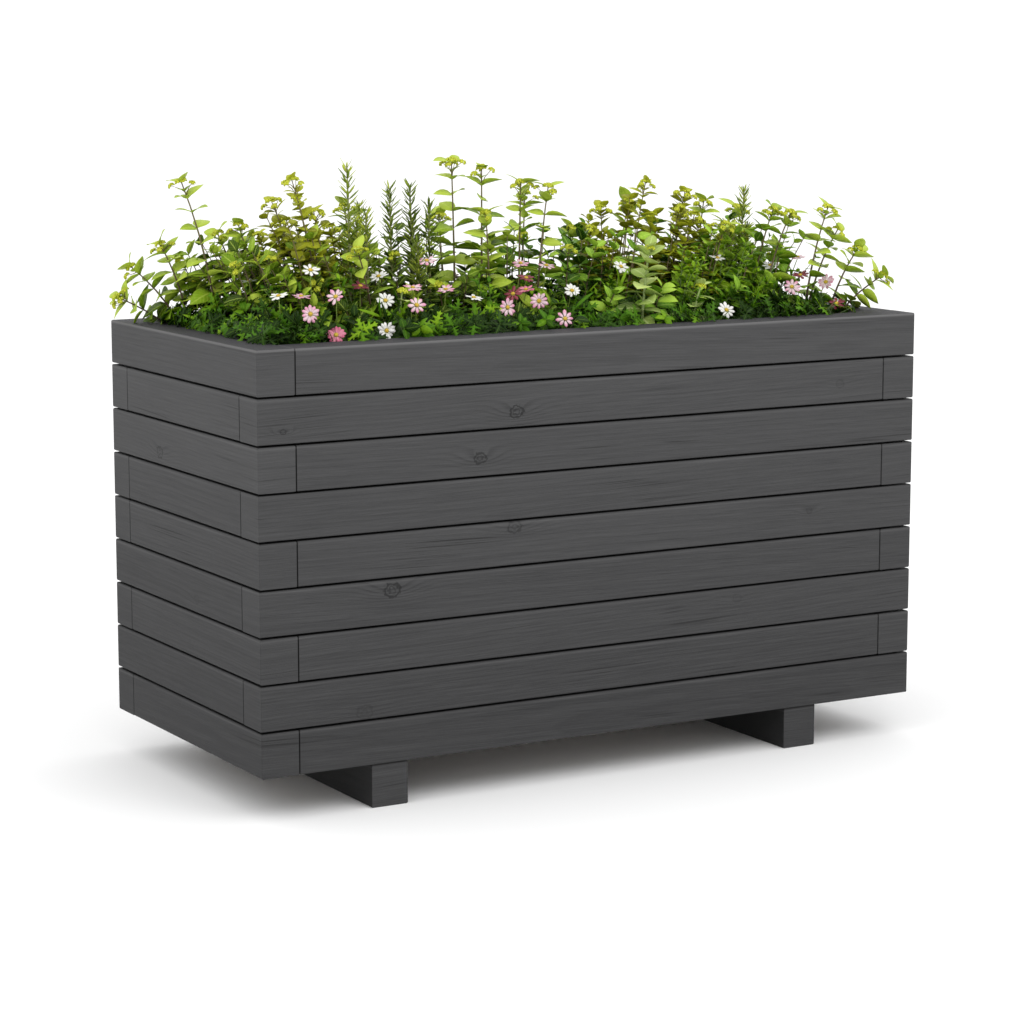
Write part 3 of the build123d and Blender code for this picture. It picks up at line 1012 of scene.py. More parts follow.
@dataclass
class PlanterBox:
    """The timbers, posts, floor, liner, compost and fixings, which keep their shapes."""

    long_knots: tuple[Knot, ...] = (
        Knot(-0.151, 0.555, 0.0082),
        Knot(-0.521, 0.550, 0.0034, 0.9),
        Knot(-0.211, 0.492, 0.0075, 0.9),
        Knot(-0.154, 0.388, 0.0085, 0.7),
        Knot(0.366, 0.370, 0.0040, 0.5),
        Knot(-0.354, 0.314, 0.0092, 1.0),
        Knot(-0.399, 0.142, 0.0095, 0.35),
        Knot(0.235, 0.246, 0.0060, 0.3),
        Knot(0.420, 0.562, 0.0055, 0.3),
    )
    short_knots: tuple[Knot, ...] = (Knot(0.080, 0.484, 0.0080, 0.8), Knot(-0.045, 0.285, 0.0060, 0.3))
    # The raw pine's colours: dark and light tones, a colour for real cracks and knots that also paints the gap shade,
    # and painted highlights.
    raw: tuple[Colour, ...] = ((0.17, 0.125, 0.06), (0.40, 0.33, 0.19), (0.05, 0.028, 0.012), (0.42, 0.36, 0.24))

    def dress(self) -> None:
        """Give every kept node its finish."""
        long_stain = TimberFinish("charcoal_stain_long", Grain.ALONG_X, self.long_knots).material()
        short_stain = TimberFinish("charcoal_stain_short", Grain.ALONG_Y, self.short_knots).material()
        floor = TimberFinish("treated_pine_floor", Grain.ALONG_X, (), *self.raw).material()
        posts = TimberFinish("treated_pine_posts", Grain.ALONG_Y, (), *self.raw).material()
        liner, compost, steel = LinerFinish().material(), CompostFinish().material(), SteelFinish().material()
        for name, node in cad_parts.items():
            if name.endswith(("front_board", "back_board")):
                finish = long_stain
            elif name.endswith(("left_board", "right_board", "foot")):
                finish = short_stain
            elif name.startswith("floor_board"):
                finish = floor
            elif name.endswith("post"):
                finish = posts
            elif name == "liner":
                finish = liner
            elif name == "compost":
                finish = compost
            elif name.endswith(("screws", "tacks")):
                finish = steel
            else:
                continue
            node.data.materials.clear()
            node.data.materials.append(finish)
            LOG.info("%s: %s", name, finish.name)


@dataclass
class CompostSurface:
    """A lumpy crust with crumbs and bark lying on the compost."""

    crumbs: int = 1400
    seed: int = 11
    half_x: float = 0.4995
    half_y: float = 0.197
    crumb_half_x: float = 0.49
    crumb_half_y: float = 0.188
    columns: int = 110
    rows: int = 44
    lowest: float = 0.0012
    lump: float = 0.007
    wall_slope: float = 0.03

    def height(self, x: float, y: float) -> float:
        """How high the crust stands over the compost here."""
        rough = noise.noise(Vector((x * 22, y * 22, 0.0))) + 0.5 * noise.noise(Vector((x * 70, y * 70, 3.0)))
        to_wall = min((self.half_x - abs(x)) / self.wall_slope, (self.half_y - abs(y)) / self.wall_slope, 1.0)
        return self.lowest + self.lump * (0.5 + 0.5 * rough) * max(to_wall, 0.1)

    def build(self) -> None:
        """Lay the crust and scatter the crumbs."""
        finish = CompostFinish().material()
        crust = Piece("compost_crust")
        crust.bm.loops.layers.uv.new("UVMap")
        bmesh.ops.create_grid(crust.bm, x_segments=self.columns, y_segments=self.rows, size=1.0, calc_uvs=True)
        rim = [edge for edge in crust.bm.edges if edge.is_boundary]
        for vert in crust.bm.verts:
            x, y = vert.co.x * self.half_x, vert.co.y * self.half_y
            vert.co = Vector((x, y, COMPOST_TOP + self.height(x, y)))
        skirt = bmesh.ops.extrude_edge_only(crust.bm, edges=rim)["geom"]
        low = [item for item in skirt if isinstance(item, bmesh.types.BMVert)]
        for vert in low:
            vert.co.z = COMPOST_TOP
        bmesh.ops.holes_fill(crust.bm, edges=[edge for edge in crust.bm.edges if edge.is_boundary], sides=0)
        bmesh.ops.recalc_face_normals(crust.bm, faces=crust.bm.faces)
        crust.finish([finish], "compost")
        self.scatter(finish)

    def scatter(self, finish: bpy.types.Material) -> None:
        """Scatter crumbs over the crust.

        Args:
            finish: The compost's material.
        """
        chance = random.Random(self.seed)
        bm = bmesh.new()
        bmesh.ops.create_icosphere(bm, subdivisions=1, radius=1.0)
        for vert in bm.verts:
            vert.co *= chance.uniform(0.7, 1.1)
        crumb = Template(bm, "crumb")
        piece = Piece("compost_crumbs")
        for _ in range(self.crumbs):
            size = chance.uniform(0.0022, 0.0075)
            x = chance.uniform(-self.crumb_half_x, self.crumb_half_x)
            y = chance.uniform(-self.crumb_half_y, self.crumb_half_y)
            place = Vector((x, y, COMPOST_TOP + self.height(x, y)))
            turn = Euler([chance.uniform(0, math.tau) for _ in range(3)]).to_matrix().to_4x4()
            squash = Matrix.Diagonal((size * chance.uniform(0.8, 1.7), size, size * 0.5, 1.0))
            piece.add(crumb, Matrix.Translation(place) @ turn @ squash, chance.random())
        piece.finish([finish], "compost")


# ---------------------------------------------------------------- planting


# How far out plants may root, and how deep
ROOT_X = INSIDE_X - 0.02
ROOT_Y = INSIDE_Y - 0.025
ROOT_Z = COMPOST_TOP - 0.004


def foot_below(tip: Vector, chance: random.Random) -> Vector:
    """Where a plant with this tip grows from the compost, a little nearer the middle."""
    x = max(-ROOT_X, min(ROOT_X, tip.x * 0.9 + chance.uniform(-0.015, 0.015)))
    y = max(-ROOT_Y, min(ROOT_Y, tip.y * 0.85 + chance.uniform(-0.012, 0.012)))
    return Vector((x, y, ROOT_Z))


def over_rim(x: float, y: float, height: float) -> Vector:
    """A point a height over the rim."""
    return Vector((x, y, RIM + height))


class Facing(Enum):
    """Which way a daisy looks: its lean from upright, in degrees."""

    SKY = 18.0
    HALF = 45.0
    OUT = 72.0


class Tint(Enum):
    """The colour of a daisy's petals."""

    WHITE = "white"
    PINK = "pink"
    ROSE = "rose"
    WINE = "wine"


@dataclass(frozen=True)
class Daisy:
    """One daisy: where its head is, over the rim, which way it looks and its colour."""

    x: float
    y: float
    height: float
    facing: Facing
    tint: Tint


DAISIES: tuple[Daisy, ...] = (
    Daisy(-0.325, -0.19, 0.010, Facing.OUT, Tint.WHITE),
    Daisy(-0.405, -0.19, 0.008, Facing.OUT, Tint.ROSE),
    Daisy(-0.43, -0.16, 0.036, Facing.OUT, Tint.PINK),
    Daisy(-0.375, -0.13, 0.056, Facing.HALF, Tint.PINK),
    Daisy(-0.465, -0.13, 0.061, Facing.SKY, Tint.WHITE),
    Daisy(-0.415, -0.10, 0.056, Facing.SKY, Tint.PINK),
    Daisy(-0.39, -0.08, 0.091, Facing.HALF, Tint.WHITE),
    Daisy(-0.27, -0.06, 0.076, Facing.SKY, Tint.WHITE),
    Daisy(-0.29, -0.12, 0.046, Facing.HALF, Tint.WHITE),
    Daisy(-0.235, -0.10, 0.061, Facing.SKY, Tint.PINK),
    Daisy(-0.18, -0.10, 0.056, Facing.SKY, Tint.PINK),
    Daisy(-0.19, -0.06, 0.096, Facing.SKY, Tint.PINK),
    Daisy(-0.11, -0.16, 0.031, Facing.OUT, Tint.PINK),
    Daisy(-0.05, -0.11, 0.051, Facing.SKY, Tint.ROSE),
    Daisy(-0.045, -0.14, 0.036, Facing.OUT, Tint.PINK),
    Daisy(-0.03, -0.19, 0.013, Facing.OUT, Tint.PINK),
    Daisy(-0.03, -0.06, 0.086, Facing.SKY, Tint.PINK),
    Daisy(0.015, -0.06, 0.081, Facing.SKY, Tint.PINK),
    Daisy(0.03, -0.11, 0.046, Facing.HALF, Tint.WHITE),
    Daisy(0.135, -0.08, 0.076, Facing.HALF, Tint.WHITE),
    Daisy(0.255, -0.19, 0.013, Facing.HALF, Tint.WHITE),
    Daisy(0.325, -0.06, 0.081, Facing.SKY, Tint.WHITE),
    Daisy(0.425, -0.06, 0.066, Facing.SKY, Tint.WHITE),
    Daisy(0.425, -0.12, 0.036, Facing.HALF, Tint.PINK),
    Daisy(0.49, -0.12, 0.041, Facing.HALF, Tint.PINK),
    Daisy(0.485, -0.05, 0.076, Facing.SKY, Tint.PINK),
    Daisy(-0.315, -0.09, 0.066, Facing.SKY, Tint.WINE),
    Daisy(-0.075, -0.115, 0.046, Facing.HALF, Tint.WINE),
    Daisy(-0.035, -0.085, 0.066, Facing.SKY, Tint.WINE),
    Daisy(0.455, -0.10, 0.052, Facing.SKY, Tint.WINE),
    Daisy(0.475, -0.17, 0.012, Facing.HALF, Tint.WINE),
    Daisy(-0.255, -0.15, 0.040, Facing.OUT, Tint.PINK),
    Daisy(-0.15, -0.13, 0.045, Facing.SKY, Tint.WHITE),
    Daisy(-0.44, 0.02, 0.07, Facing.SKY, Tint.WHITE),
    Daisy(-0.30, 0.16, 0.06, Facing.SKY, Tint.PINK),
    Daisy(-0.12, 0.12, 0.08, Facing.SKY, Tint.WHITE),
    Daisy(-0.02, 0.17, 0.05, Facing.SKY, Tint.PINK),
    Daisy(0.06, 0.08, 0.09, Facing.SKY, Tint.WHITE),
    Daisy(0.16, 0.17, 0.05, Facing.HALF, Tint.PINK),
    Daisy(0.27, 0.11, 0.08, Facing.SKY, Tint.WHITE),
    Daisy(0.41, 0.16, 0.06, Facing.SKY, Tint.PINK),
)
# The daisies are kept clear along this direction, over these distances
OUTLOOK = Vector((0.493, 0.855, -0.159))
CLEAR_BEFORE = 0.16
CLEAR_BEHIND = 0.012
CLEAR_RADIUS = 0.021


def hides_daisy(point: Vector) -> bool:
    """Whether a leaf here would cover a daisy: the plants stand a little apart in front of each head."""
    for plant in DAISIES:
        away = point - over_rim(plant.x, plant.y, plant.height)
        depth = away.dot(OUTLOOK)
        if -CLEAR_BEFORE < depth < CLEAR_BEHIND and (away - OUTLOOK * depth).length < CLEAR_RADIUS:
            return True
    return False


@dataclass(frozen=True)
class Habit:
    """How one kind of plant carries its leaves: whorls, sizes, lifts and turns, low down and at the top."""

    pairs: int
    around: int
    first: float
    low_scale: float
    top_scale: float
    low_lift: float
    top_lift: float
    turn: float = 90.0
    roll: float = 38.0
    parts: bool = True
    last: float = 0.985
    stray: float = 14.0
    tilt: float = 12.0
    swell: float = 1.2


def growth_tint_and_painted_shade(share: float, point: Vector) -> float:
    """How much paler a leaf is: paler towards the tip of its stem, as new growth and as painted light, and darker low
    down among the plants, as painted shade.
    """
    return (share - 0.55) * 0.45 - max(0.0, 0.3 - (point.z - RIM) * 5.5)


def leaf_up(
    piece: Piece, template: Template, stem: Stem, habit: Habit, chance: random.Random, shade: float, size: float = 1.0
) -> None:
    """Set leaves in whorls up a stem.

    Args:
        piece: What the leaves are added to.
        template: The leaf.
        stem: The stem.
        habit: How the plant carries its leaves.
        chance: The source of small differences.
        shade: The plant's own shade.
        size: The leaves' size beside the usual one.
    """
    spin = chance.uniform(0, 360)
    for index in range(habit.pairs):
        t = habit.first + (habit.last - habit.first) * index / max(habit.pairs - 1, 1)
        point, heading = stem.point(t), stem.heading(t)
        sideways = heading.orthogonal().normalized()
        share = (t - habit.first) / (1 - habit.first)
        scale = habit.low_scale + (habit.top_scale - habit.low_scale) * share**habit.swell
        lift = math.radians(habit.low_lift + (habit.top_lift - habit.low_lift) * share)
        for step in range(habit.around):
            stray = chance.uniform(-habit.stray, habit.stray)
            angle = math.radians(spin + index * habit.turn + step * 360 / habit.around + stray)
            out = Matrix.Rotation(angle, 3, heading) @ sideways
            tilt = lift + math.radians(chance.uniform(-habit.tilt, habit.tilt))
            forward = out * math.cos(tilt) + heading * math.sin(tilt)
            roll = Matrix.Rotation(math.radians(chance.uniform(-habit.roll, habit.roll)), 3, forward)
            if habit.parts and hides_daisy(point + forward * 0.012 * size * scale):
                continue
            place = aim(point, forward, roll @ heading, size * scale * chance.uniform(0.82, 1.15))
            # The plant's own shade, the paler tip and the painted shade low down, and a random difference.
            own = shade + growth_tint_and_painted_shade(share, point) + chance.uniform(-0.3, 0.3)
            piece.add(template, place, min(max(own, 0.0), 1.0))


@dataclass
class FlowerHeads:
    """Domed heads of tiny yellow-green florets on the tall herbs."""

    name: str = "herb_flower_heads"
    dome: float = math.radians(82)

    def __post_init__(self) -> None:
        """Make the floret that every head is built of."""
        bm = bmesh.new()
        bmesh.ops.create_cone(bm, cap_ends=True, segments=8, radius1=0.0006, radius2=0.0029, depth=0.0022)
        upper = sorted((vert for vert in bm.verts if vert.co.z > 0), key=lambda vert: math.atan2(vert.co.y, vert.co.x))
        for vert in upper[1::2]:
            vert.co.x, vert.co.y = vert.co.x * 0.6, vert.co.y * 0.6
        self.floret = Template(bm, "floret")
        self.piece = Piece(self.name)

    def bloom(self, point: Vector, heading: Vector, radius: float, count: int, chance: random.Random) -> None:
        """Set one domed head.

        Args:
            point: The end of its stem.
            heading: The direction it faces.
            radius: The dome's radius.
            count: How many florets it has.
            chance: The source of small differences.
        """
        base = heading.to_track_quat("Z", "Y").to_matrix()
        golden = math.pi * (3 - math.sqrt(5))
        for index in range(count):
            share = (index + 0.5) / count
            slope = share**0.5 * self.dome
            around = index * golden
            flat = math.sin(slope)
            out = base @ Vector((flat * math.cos(around), flat * math.sin(around), math.cos(slope)))
            rise = out - heading * (out.dot(heading) * 0.35)
            spot = point + rise * radius * chance.uniform(0.85, 1.05) - heading * radius * 0.3
            turn = out.to_track_quat("Z", "Y").to_matrix().to_4x4()
            size = Matrix.Scale(chance.uniform(0.85, 1.35), 4)
            self.piece.add(self.floret, Matrix.Translation(spot) @ turn @ size, chance.random())

    def finish(self) -> None:
        """Make the heads one piece."""
        self.piece.finish([FLORET.material()], "herb_leaf")


@dataclass(frozen=True)
class Drift:
    """A drift of plants: how many, where their tips stand over the rim, and the range of their shades."""

    count: int
    wide: tuple[float, float]
    deep: tuple[float, float]
    tall: tuple[float, float]
    shades: tuple[float, float] = (-0.1, 0.9)

    def spots(self, chance: random.Random) -> Iterable[tuple[float, float, float]]:
        """Places spread evenly but not in line.

        Args:
            chance: The source of small differences.

        Yields:
            The X, the Y and the height over the rim of each.
        """
        golden = (math.sqrt(5) - 1) / 2
        for index in range(self.count):
            x = self.wide[0] + (self.wide[1] - self.wide[0]) * (index + chance.uniform(0.1, 0.9)) / self.count
            along = (index * golden + chance.uniform(-0.06, 0.06)) % 1.0
            y = self.deep[0] + (self.deep[1] - self.deep[0]) * along
            yield x, y, chance.uniform(*self.tall)


FILL_DRIFTS = (
    Drift(150, (-0.485, 0.485), (-0.08, 0.188), (0.03, 0.135)),
    Drift(32, (-0.485, 0.485), (-0.15, -0.08), (0.005, 0.055)),
    Drift(46, (-0.49, -0.36), (-0.08, 0.192), (0.03, 0.125)),
    Drift(16, (0.40, 0.49), (-0.1, 0.192), (0.03, 0.11)),
)
FRONT_DRIFT = Drift(92, (-0.49, 0.49), (-0.190, -0.120), (-0.010, 0.030), (-0.25, 0.75))
BACK_DRIFTS = (
    Drift(90, (-0.49, 0.49), (-0.12, 0.190), (-0.005, 0.045), (-0.1, 0.95)),
    Drift(26, (-0.496, -0.455), (-0.19, 0.19), (0.0, 0.045)),
    Drift(16, (0.465, 0.496), (-0.19, 0.19), (-0.005, 0.03)),
)
SPILL_DRIFTS = (
    Drift(30, (-0.46, 0.49), (-0.212, -0.198), (0.008, 0.016), (-0.1, 0.8)),
    Drift(24, (-0.517, -0.505), (-0.20, 0.17), (0.008, 0.018), (-0.1, 0.8)),
)
BUSH_DRIFTS = (
    Drift(46, (0.24, 0.485), (-0.15, 0.12), (0.03, 0.115), (0.65, 1.35)),
    Drift(20, (-0.485, -0.30), (-0.12, 0.05), (0.035, 0.10), (0.1, 0.8)),
    Drift(20, (-0.12, 0.12), (-0.12, 0.02), (0.03, 0.085), (0.1, 0.8)),
)

FLORET = EyeFinish("herb_floret_finish", (0.46, 0.52, 0.016), (0.84, 0.85, 0.07), 900.0)
HERB_STEM = StemFinish("herb_stem_finish", (0.085, 0.040, 0.032), (0.15, 0.13, 0.045))
HERB_LEAF = LeafFinish(
    "herb_leaf_finish",
    deep=(0.020, 0.050, 0.001),
    middle=(0.17, 0.295, 0.009),
    bright=(0.43, 0.55, 0.060),
    vein=(0.50, 0.61, 0.11),
)
GREEN_HERB_LEAF = LeafFinish(
    "green_herb_leaf_finish",
    deep=(0.012, 0.050, 0.001),
    middle=(0.115, 0.275, 0.009),
    bright=(0.36, 0.55, 0.055),
    vein=(0.44, 0.60, 0.11),
)
BRONZE_STEM = StemFinish("bronze_stem_finish", (0.10, 0.045, 0.03), (0.17, 0.15, 0.04))
BRONZE_LEAF = LeafFinish(
    "bronze_leaf_finish",
    deep=(0.060, 0.064, 0.003),
    middle=(0.24, 0.26, 0.008),
    bright=(0.45, 0.49, 0.025),
    vein=(0.41, 0.43, 0.06),
)
ROSEMARY_STEM = StemFinish("rosemary_stem_finish", (0.13, 0.09, 0.05), (0.24, 0.29, 0.08))
ROSEMARY_NEEDLE = LeafFinish(
    "rosemary_needle_finish",
    deep=(0.016, 0.038, 0.004),
    middle=(0.13, 0.20, 0.016),
    bright=(0.42, 0.49, 0.05),
    vein=(0.44, 0.48, 0.12),
    veins=0.5,
    roughness=0.45,
    vein_strength=0.35,
)
FEATHERY_STEM = StemFinish("feathery_stem_finish", (0.05, 0.09, 0.02), (0.18, 0.28, 0.05))
FEATHERY_LEAF = LeafFinish(
    "feathery_leaf_finish",
    deep=(0.006, 0.024, 0.001),
    middle=(0.050, 0.150, 0.003),
    bright=(0.19, 0.34, 0.009),
    vein=(0.24, 0.40, 0.04),
    veins=6.0,
    roughness=0.5,
    vein_strength=0.25,
)
BROAD_STEM = StemFinish("broad_stem_finish", (0.24, 0.32, 0.11), (0.38, 0.46, 0.16))
BROAD_LEAF = LeafFinish(
    "broad_leaf_finish",
    deep=(0.12, 0.19, 0.03),
    middle=(0.30, 0.41, 0.09),
    bright=(0.50, 0.60, 0.18),
    vein=(0.56, 0.65, 0.28),
    veins=8.0,
    roughness=0.5,
    vein_strength=0.5,
)
DAISY_STEM = StemFinish("daisy_stem_finish", (0.16, 0.26, 0.03), (0.36, 0.46, 0.10))
DAISY_EYE = EyeFinish("daisy_eye_finish", (0.46, 0.27, 0.015), (0.80, 0.67, 0.07), 2200.0)
PETALS: dict[Tint, PetalFinish] = {
    Tint.WHITE: PetalFinish("white_petal", (0.70, 0.72, 0.42), (0.77, 0.77, 0.73), (0.80, 0.79, 0.76)),
    Tint.PINK: PetalFinish("pink_petal", (0.74, 0.60, 0.42), (0.76, 0.58, 0.62), (0.72, 0.32, 0.45)),
    Tint.WINE: PetalFinish("wine_petal", (0.34, 0.12, 0.09), (0.25, 0.035, 0.055), (0.17, 0.015, 0.035)),
    Tint.ROSE: PetalFinish("rose_petal", (0.66, 0.40, 0.32), (0.64, 0.22, 0.30), (0.52, 0.10, 0.19)),
}


@dataclass
class Planting:
    """All the plants, front to back."""

    seed: int = 5
    tall_tips: tuple[tuple[float, float, float], ...] = (
        (-0.515, 0.09, 0.215), (-0.52, 0.16, 0.12), (-0.555, 0.19, 0.085), (-0.575, 0.20, 0.04),
        (-0.445, 0.12, 0.135), (-0.425, 0.09, 0.15),
        (-0.115, 0.0, 0.24), (-0.08, -0.03, 0.23), (-0.09, -0.06, 0.165), (0.005, 0.0, 0.205), (0.03, -0.04, 0.20),
        (-0.325, -0.10, 0.12), (0.34, -0.06, 0.135), (0.365, 0.04, 0.165),
        (0.43, -0.06, 0.155), (0.45, -0.08, 0.15), (0.485, -0.13, 0.16), (0.505, -0.13, 0.125),
        (0.53, -0.15, 0.095), (0.555, -0.185, 0.055),
        (0.47, 0.10, 0.15), (0.50, 0.17, 0.10), (0.30, 0.16, 0.16), (0.10, 0.15, 0.18), (-0.05, 0.16, 0.15),
        (-0.22, 0.15, 0.17), (0.20, 0.17, 0.12),
    )
    bronze_tips: tuple[tuple[float, float, float], ...] = (
        (-0.39, -0.02, 0.22), (-0.385, 0.06, 0.185), (-0.335, 0.02, 0.17), (-0.30, 0.04, 0.145), (-0.36, 0.0, 0.13),
        (0.185, 0.06, 0.16), (0.225, 0.04, 0.16), (0.23, 0.0, 0.20), (0.29, -0.02, 0.185), (0.295, -0.04, 0.15),
        (0.15, 0.03, 0.13), (-0.34, 0.13, 0.15), (0.38, 0.13, 0.14),
    )
    rosemary_tips: tuple[tuple[float, float, float], ...] = (
        (-0.30, -0.02, 0.235), (-0.22, 0.0, 0.20), (-0.175, 0.02, 0.20), (-0.165, -0.02, 0.175), (-0.28, -0.04, 0.165),
        (0.415, 0.0, 0.18), (0.375, -0.02, 0.13), (-0.25, 0.05, 0.15), (-0.20, -0.05, 0.12), (-0.15, 0.06, 0.15),
        (0.44, 0.03, 0.12), (-0.23, 0.08, 0.17),
    )

    def build(self) -> None:
        """Grow everything."""
        self.chance = random.Random(self.seed)
        self.heads = FlowerHeads()
        self.tall_herbs()
        self.bronze_herbs()
        self.rosemary()
        self.feathery()
        self.broad()
        Daisies(self.seed + 1).build()
        self.heads.finish()

    def tall_herbs(self) -> None:
        """Tall stems of opposite oval leaves, and the shorter stems of the same herb that fill between them."""
        chance = self.chance
        oval = Blade("oval_leaf", 0.038, 0.024, widest=0.42, blunt=0.8, fold=0.16, droop=0.3).template()
        low_oval = Blade(
            "low_oval_leaf", 0.040, 0.025, widest=0.42, blunt=0.75, fold=0.16, droop=0.32, rows=4
        ).template()
        stems, leaves = StemBundle("herb_stems"), Piece("herb_leaves")
        low_leaves = {side: Piece(f"herb_low_leaves_{side}") for side in ("left", "right")}
        tall = Habit(10, 2, 0.12, 1.15, 0.76, 5, 36)
        for spot in self.tall_tips:
            tip = over_rim(*spot)
            stem = Stem(foot_below(tip, chance), tip, 0.0021)
            stems.add(stem)
            leaf_up(leaves, oval, stem, tall, chance, chance.uniform(0.5, 1.0))
            self.crown(stem, stems, leaves, oval, chance)
        fill = Habit(7, 2, 0.2, 1.0, 0.6, 8, 48)
        spots = [spot for drift in FILL_DRIFTS for spot in drift.spots(chance)]
        for x, y, height in spots:
            tip = over_rim(x, y, height)
            if hides_daisy(tip):
                continue
            stem = Stem(foot_below(tip, chance), tip, 0.0014)
            stems.add(stem, steps=4)
            side = low_leaves["left" if x < 0 else "right"]
            paler = 0.25 if x > 0.2 else 0.0
            leaf_up(side, low_oval, stem, fill, chance, paler + chance.uniform(-0.1, 0.9), chance.uniform(0.7, 1.1))
            if height > 0.06 and chance.random() < 0.16:
                self.crown(stem, stems, side, low_oval, chance, 0.8)
        stems.finish(HERB_STEM.material(), "herb_leaf")
        finish, greener = HERB_LEAF.material(), GREEN_HERB_LEAF.material()
        leaves.finish([finish], "herb_leaf", "tall_plants")
        low_leaves["left"].finish([finish], "herb_leaf")
        low_leaves["right"].finish([greener], "herb_leaf")

    def crown(
        self, stem: Stem, stems: StemBundle, leaves: Piece, oval: Template, chance: random.Random, size: float = 1.0
    ) -> None:
        """Give a stem its flower head, a few side heads and the small leaves that cup them.

        Args:
            stem: The stem.
            stems: What the side stalks are added to.
            leaves: What the small leaves are added to.
            oval: The leaf.
            chance: The source of small differences.
            size: The head's size beside the usual one.
        """
        heading = (stem.heading(1.0) + Vector((0, 0, 0.4))).normalized()
        self.heads.bloom(stem.tip, heading, size * chance.uniform(0.0072, 0.0092), chance.randint(20, 26), chance)
        sideways = heading.orthogonal().normalized()
        spin = chance.uniform(0, math.tau)
        sides = chance.randint(2, 5)
        for index in range(sides):
            out = Matrix.Rotation(spin + math.tau * index / sides, 3, heading) @ sideways
            start = stem.point(chance.uniform(0.88, 0.94))
            end = stem.tip + out * size * chance.uniform(0.012, 0.018) - heading * chance.uniform(0.003, 0.009)
            stalk = Stem(start, end, 0.0008)
            stems.add(stalk, steps=3)
            self.heads.bloom(end, (heading + out * 0.4).normalized(), size * chance.uniform(0.0034, 0.0050), 8, chance)
        for index in range(4):
            out = Matrix.Rotation(spin + math.tau * (index + 0.5) / 4, 3, heading) @ sideways
            start = stem.point(0.88 if index % 2 else 0.93)
            place = aim(start, out + heading * 0.9, heading, chance.uniform(0.34, 0.46))
            leaves.add(oval, place, chance.uniform(0.6, 1.0))

    def bronze_herbs(self) -> None:
        """Bushy olive and bronze stems with closely set leaves."""
        chance = self.chance
        oval = Blade(
            "bronze_oval_leaf", 0.032, 0.0195, widest=0.45, blunt=0.75, fold=0.16, droop=0.3, rows=4
        ).template()
        stems, leaves = StemBundle("bronze_stems"), Piece("bronze_leaves")
        habit = Habit(12, 2, 0.12, 1.15, 0.62, -5, 42)
        for x, y, height in self.bronze_tips:
            for branch in range(4):
                reach = 0.0 if branch == 0 else 0.034
                beside = x + chance.uniform(-reach, reach), y + chance.uniform(-reach, reach)
                tip = over_rim(*beside, height * (1 - 0.13 * branch))
                stem = Stem(foot_below(tip, chance), tip, 0.0016)
                stems.add(stem)
                leaf_up(leaves, oval, stem, habit, chance, chance.uniform(0.2, 0.75))
                if branch == 0 or chance.random() < 0.3:
                    self.crown(stem, stems, leaves, oval, chance, 0.95)
        stems.finish(BRONZE_STEM.material(), "bronze_leaf")
        leaves.finish([BRONZE_LEAF.material()], "bronze_leaf", "bronze_plants")

    def rosemary(self) -> None:
        """Upright sprigs set all round with spreading needles."""
        chance = self.chance
        needle = Blade(
            "needle", 0.0275, 0.0043, widest=0.45, blunt=0.5, fold=0.1, droop=-0.10, rows=3, columns=1, thickness=0.0009
        ).template()
        stems, needles = StemBundle("rosemary_stems"), Piece("rosemary_needles")
        habit = Habit(30, 4, 0.08, 1.15, 0.62, 4, 46, 45.0, parts=False)
        for x, y, height in self.rosemary_tips:
            tip = over_rim(x, y, height)
            stem = Stem(Vector((tip.x * 0.98, tip.y * 0.95, ROOT_Z)), tip, 0.0022)
            stems.add(stem)
            leaf_up(needles, needle, stem, habit, chance, chance.uniform(0.3, 0.7))
        stems.finish(ROSEMARY_STEM.material(), "rosemary_leaf")
        needles.finish([ROSEMARY_NEEDLE.material()], "rosemary_leaf", "rosemary_plants")

    def feathery(self) -> None:
        """Low plants with cut, oval and strap leaves, thick along the front and between everything else."""
        cut = Blade(
            "cut_leaf",
            0.040,
            0.0080,
            widest=0.5,
            blunt=0.6,
            fold=0.12,
            droop=0.25,
            rows=7,
            lobes=(1, 3, 5),
            lobe_reach=0.016,
        ).template()
        plain = Blade("plain_leaf", 0.034, 0.019, widest=0.45, blunt=0.75, fold=0.2, droop=0.3).template()
        strap = Blade("strap_leaf", 0.052, 0.0065, widest=0.45, blunt=0.6, fold=0.25, droop=0.35, rows=6).template()
        kinds = (
            (cut, Habit(5, 3, 0.25, 1.0, 0.65, 8, 60, 50.0)),
            (plain, Habit(4, 3, 0.25, 1.0, 0.6, 0, 50, 50.0)),
            (strap, Habit(4, 3, 0.1, 0.9, 0.7, 30, 70, 50.0)),
        )
        front, back = Piece("feathery_leaves_front"), Piece("feathery_leaves_back")
        stems = StemBundle("feathery_stems")
        self.low_plants(front, stems, FRONT_DRIFT, kinds)
        for drift in BACK_DRIFTS:
            self.low_plants(back, stems, drift, kinds)
        for drift in SPILL_DRIFTS:
            self.spill(front, stems, drift, (cut, plain))
        bushes = self.bushes(stems)
        stems.finish(FEATHERY_STEM.material(), "feathery_leaf")
        finish = FEATHERY_LEAF.material()
        front.finish([finish], "feathery_leaf", "feathery_plants")
        back.finish([finish], "feathery_leaf")
        bushes.finish([finish], "feathery_leaf")

    def low_plants(
        self, leaves: Piece, stems: StemBundle, drift: Drift, kinds: Sequence[tuple[Template, Habit]]
    ) -> None:
        """Plant a drift of mixed low plants.

        Args:
            leaves: What the leaves are added to.
            stems: What the stems are added to.
            drift: Where they stand.
            kinds: Each kind's leaf and habit, the commonest first.
        """
        chance = self.chance
        for x, y, height in drift.spots(chance):
            if self.near_broad(x, y):
                continue
            template, habit = chance.choices(kinds, (6, 3, 2))[0]
            tip = over_rim(x, y, height)
            stem = Stem(foot_below(tip, chance), tip, 0.0013)
            stems.add(stem, steps=3)
            leaf_up(leaves, template, stem, habit, chance, chance.uniform(*drift.shades), chance.uniform(0.7, 1.1))

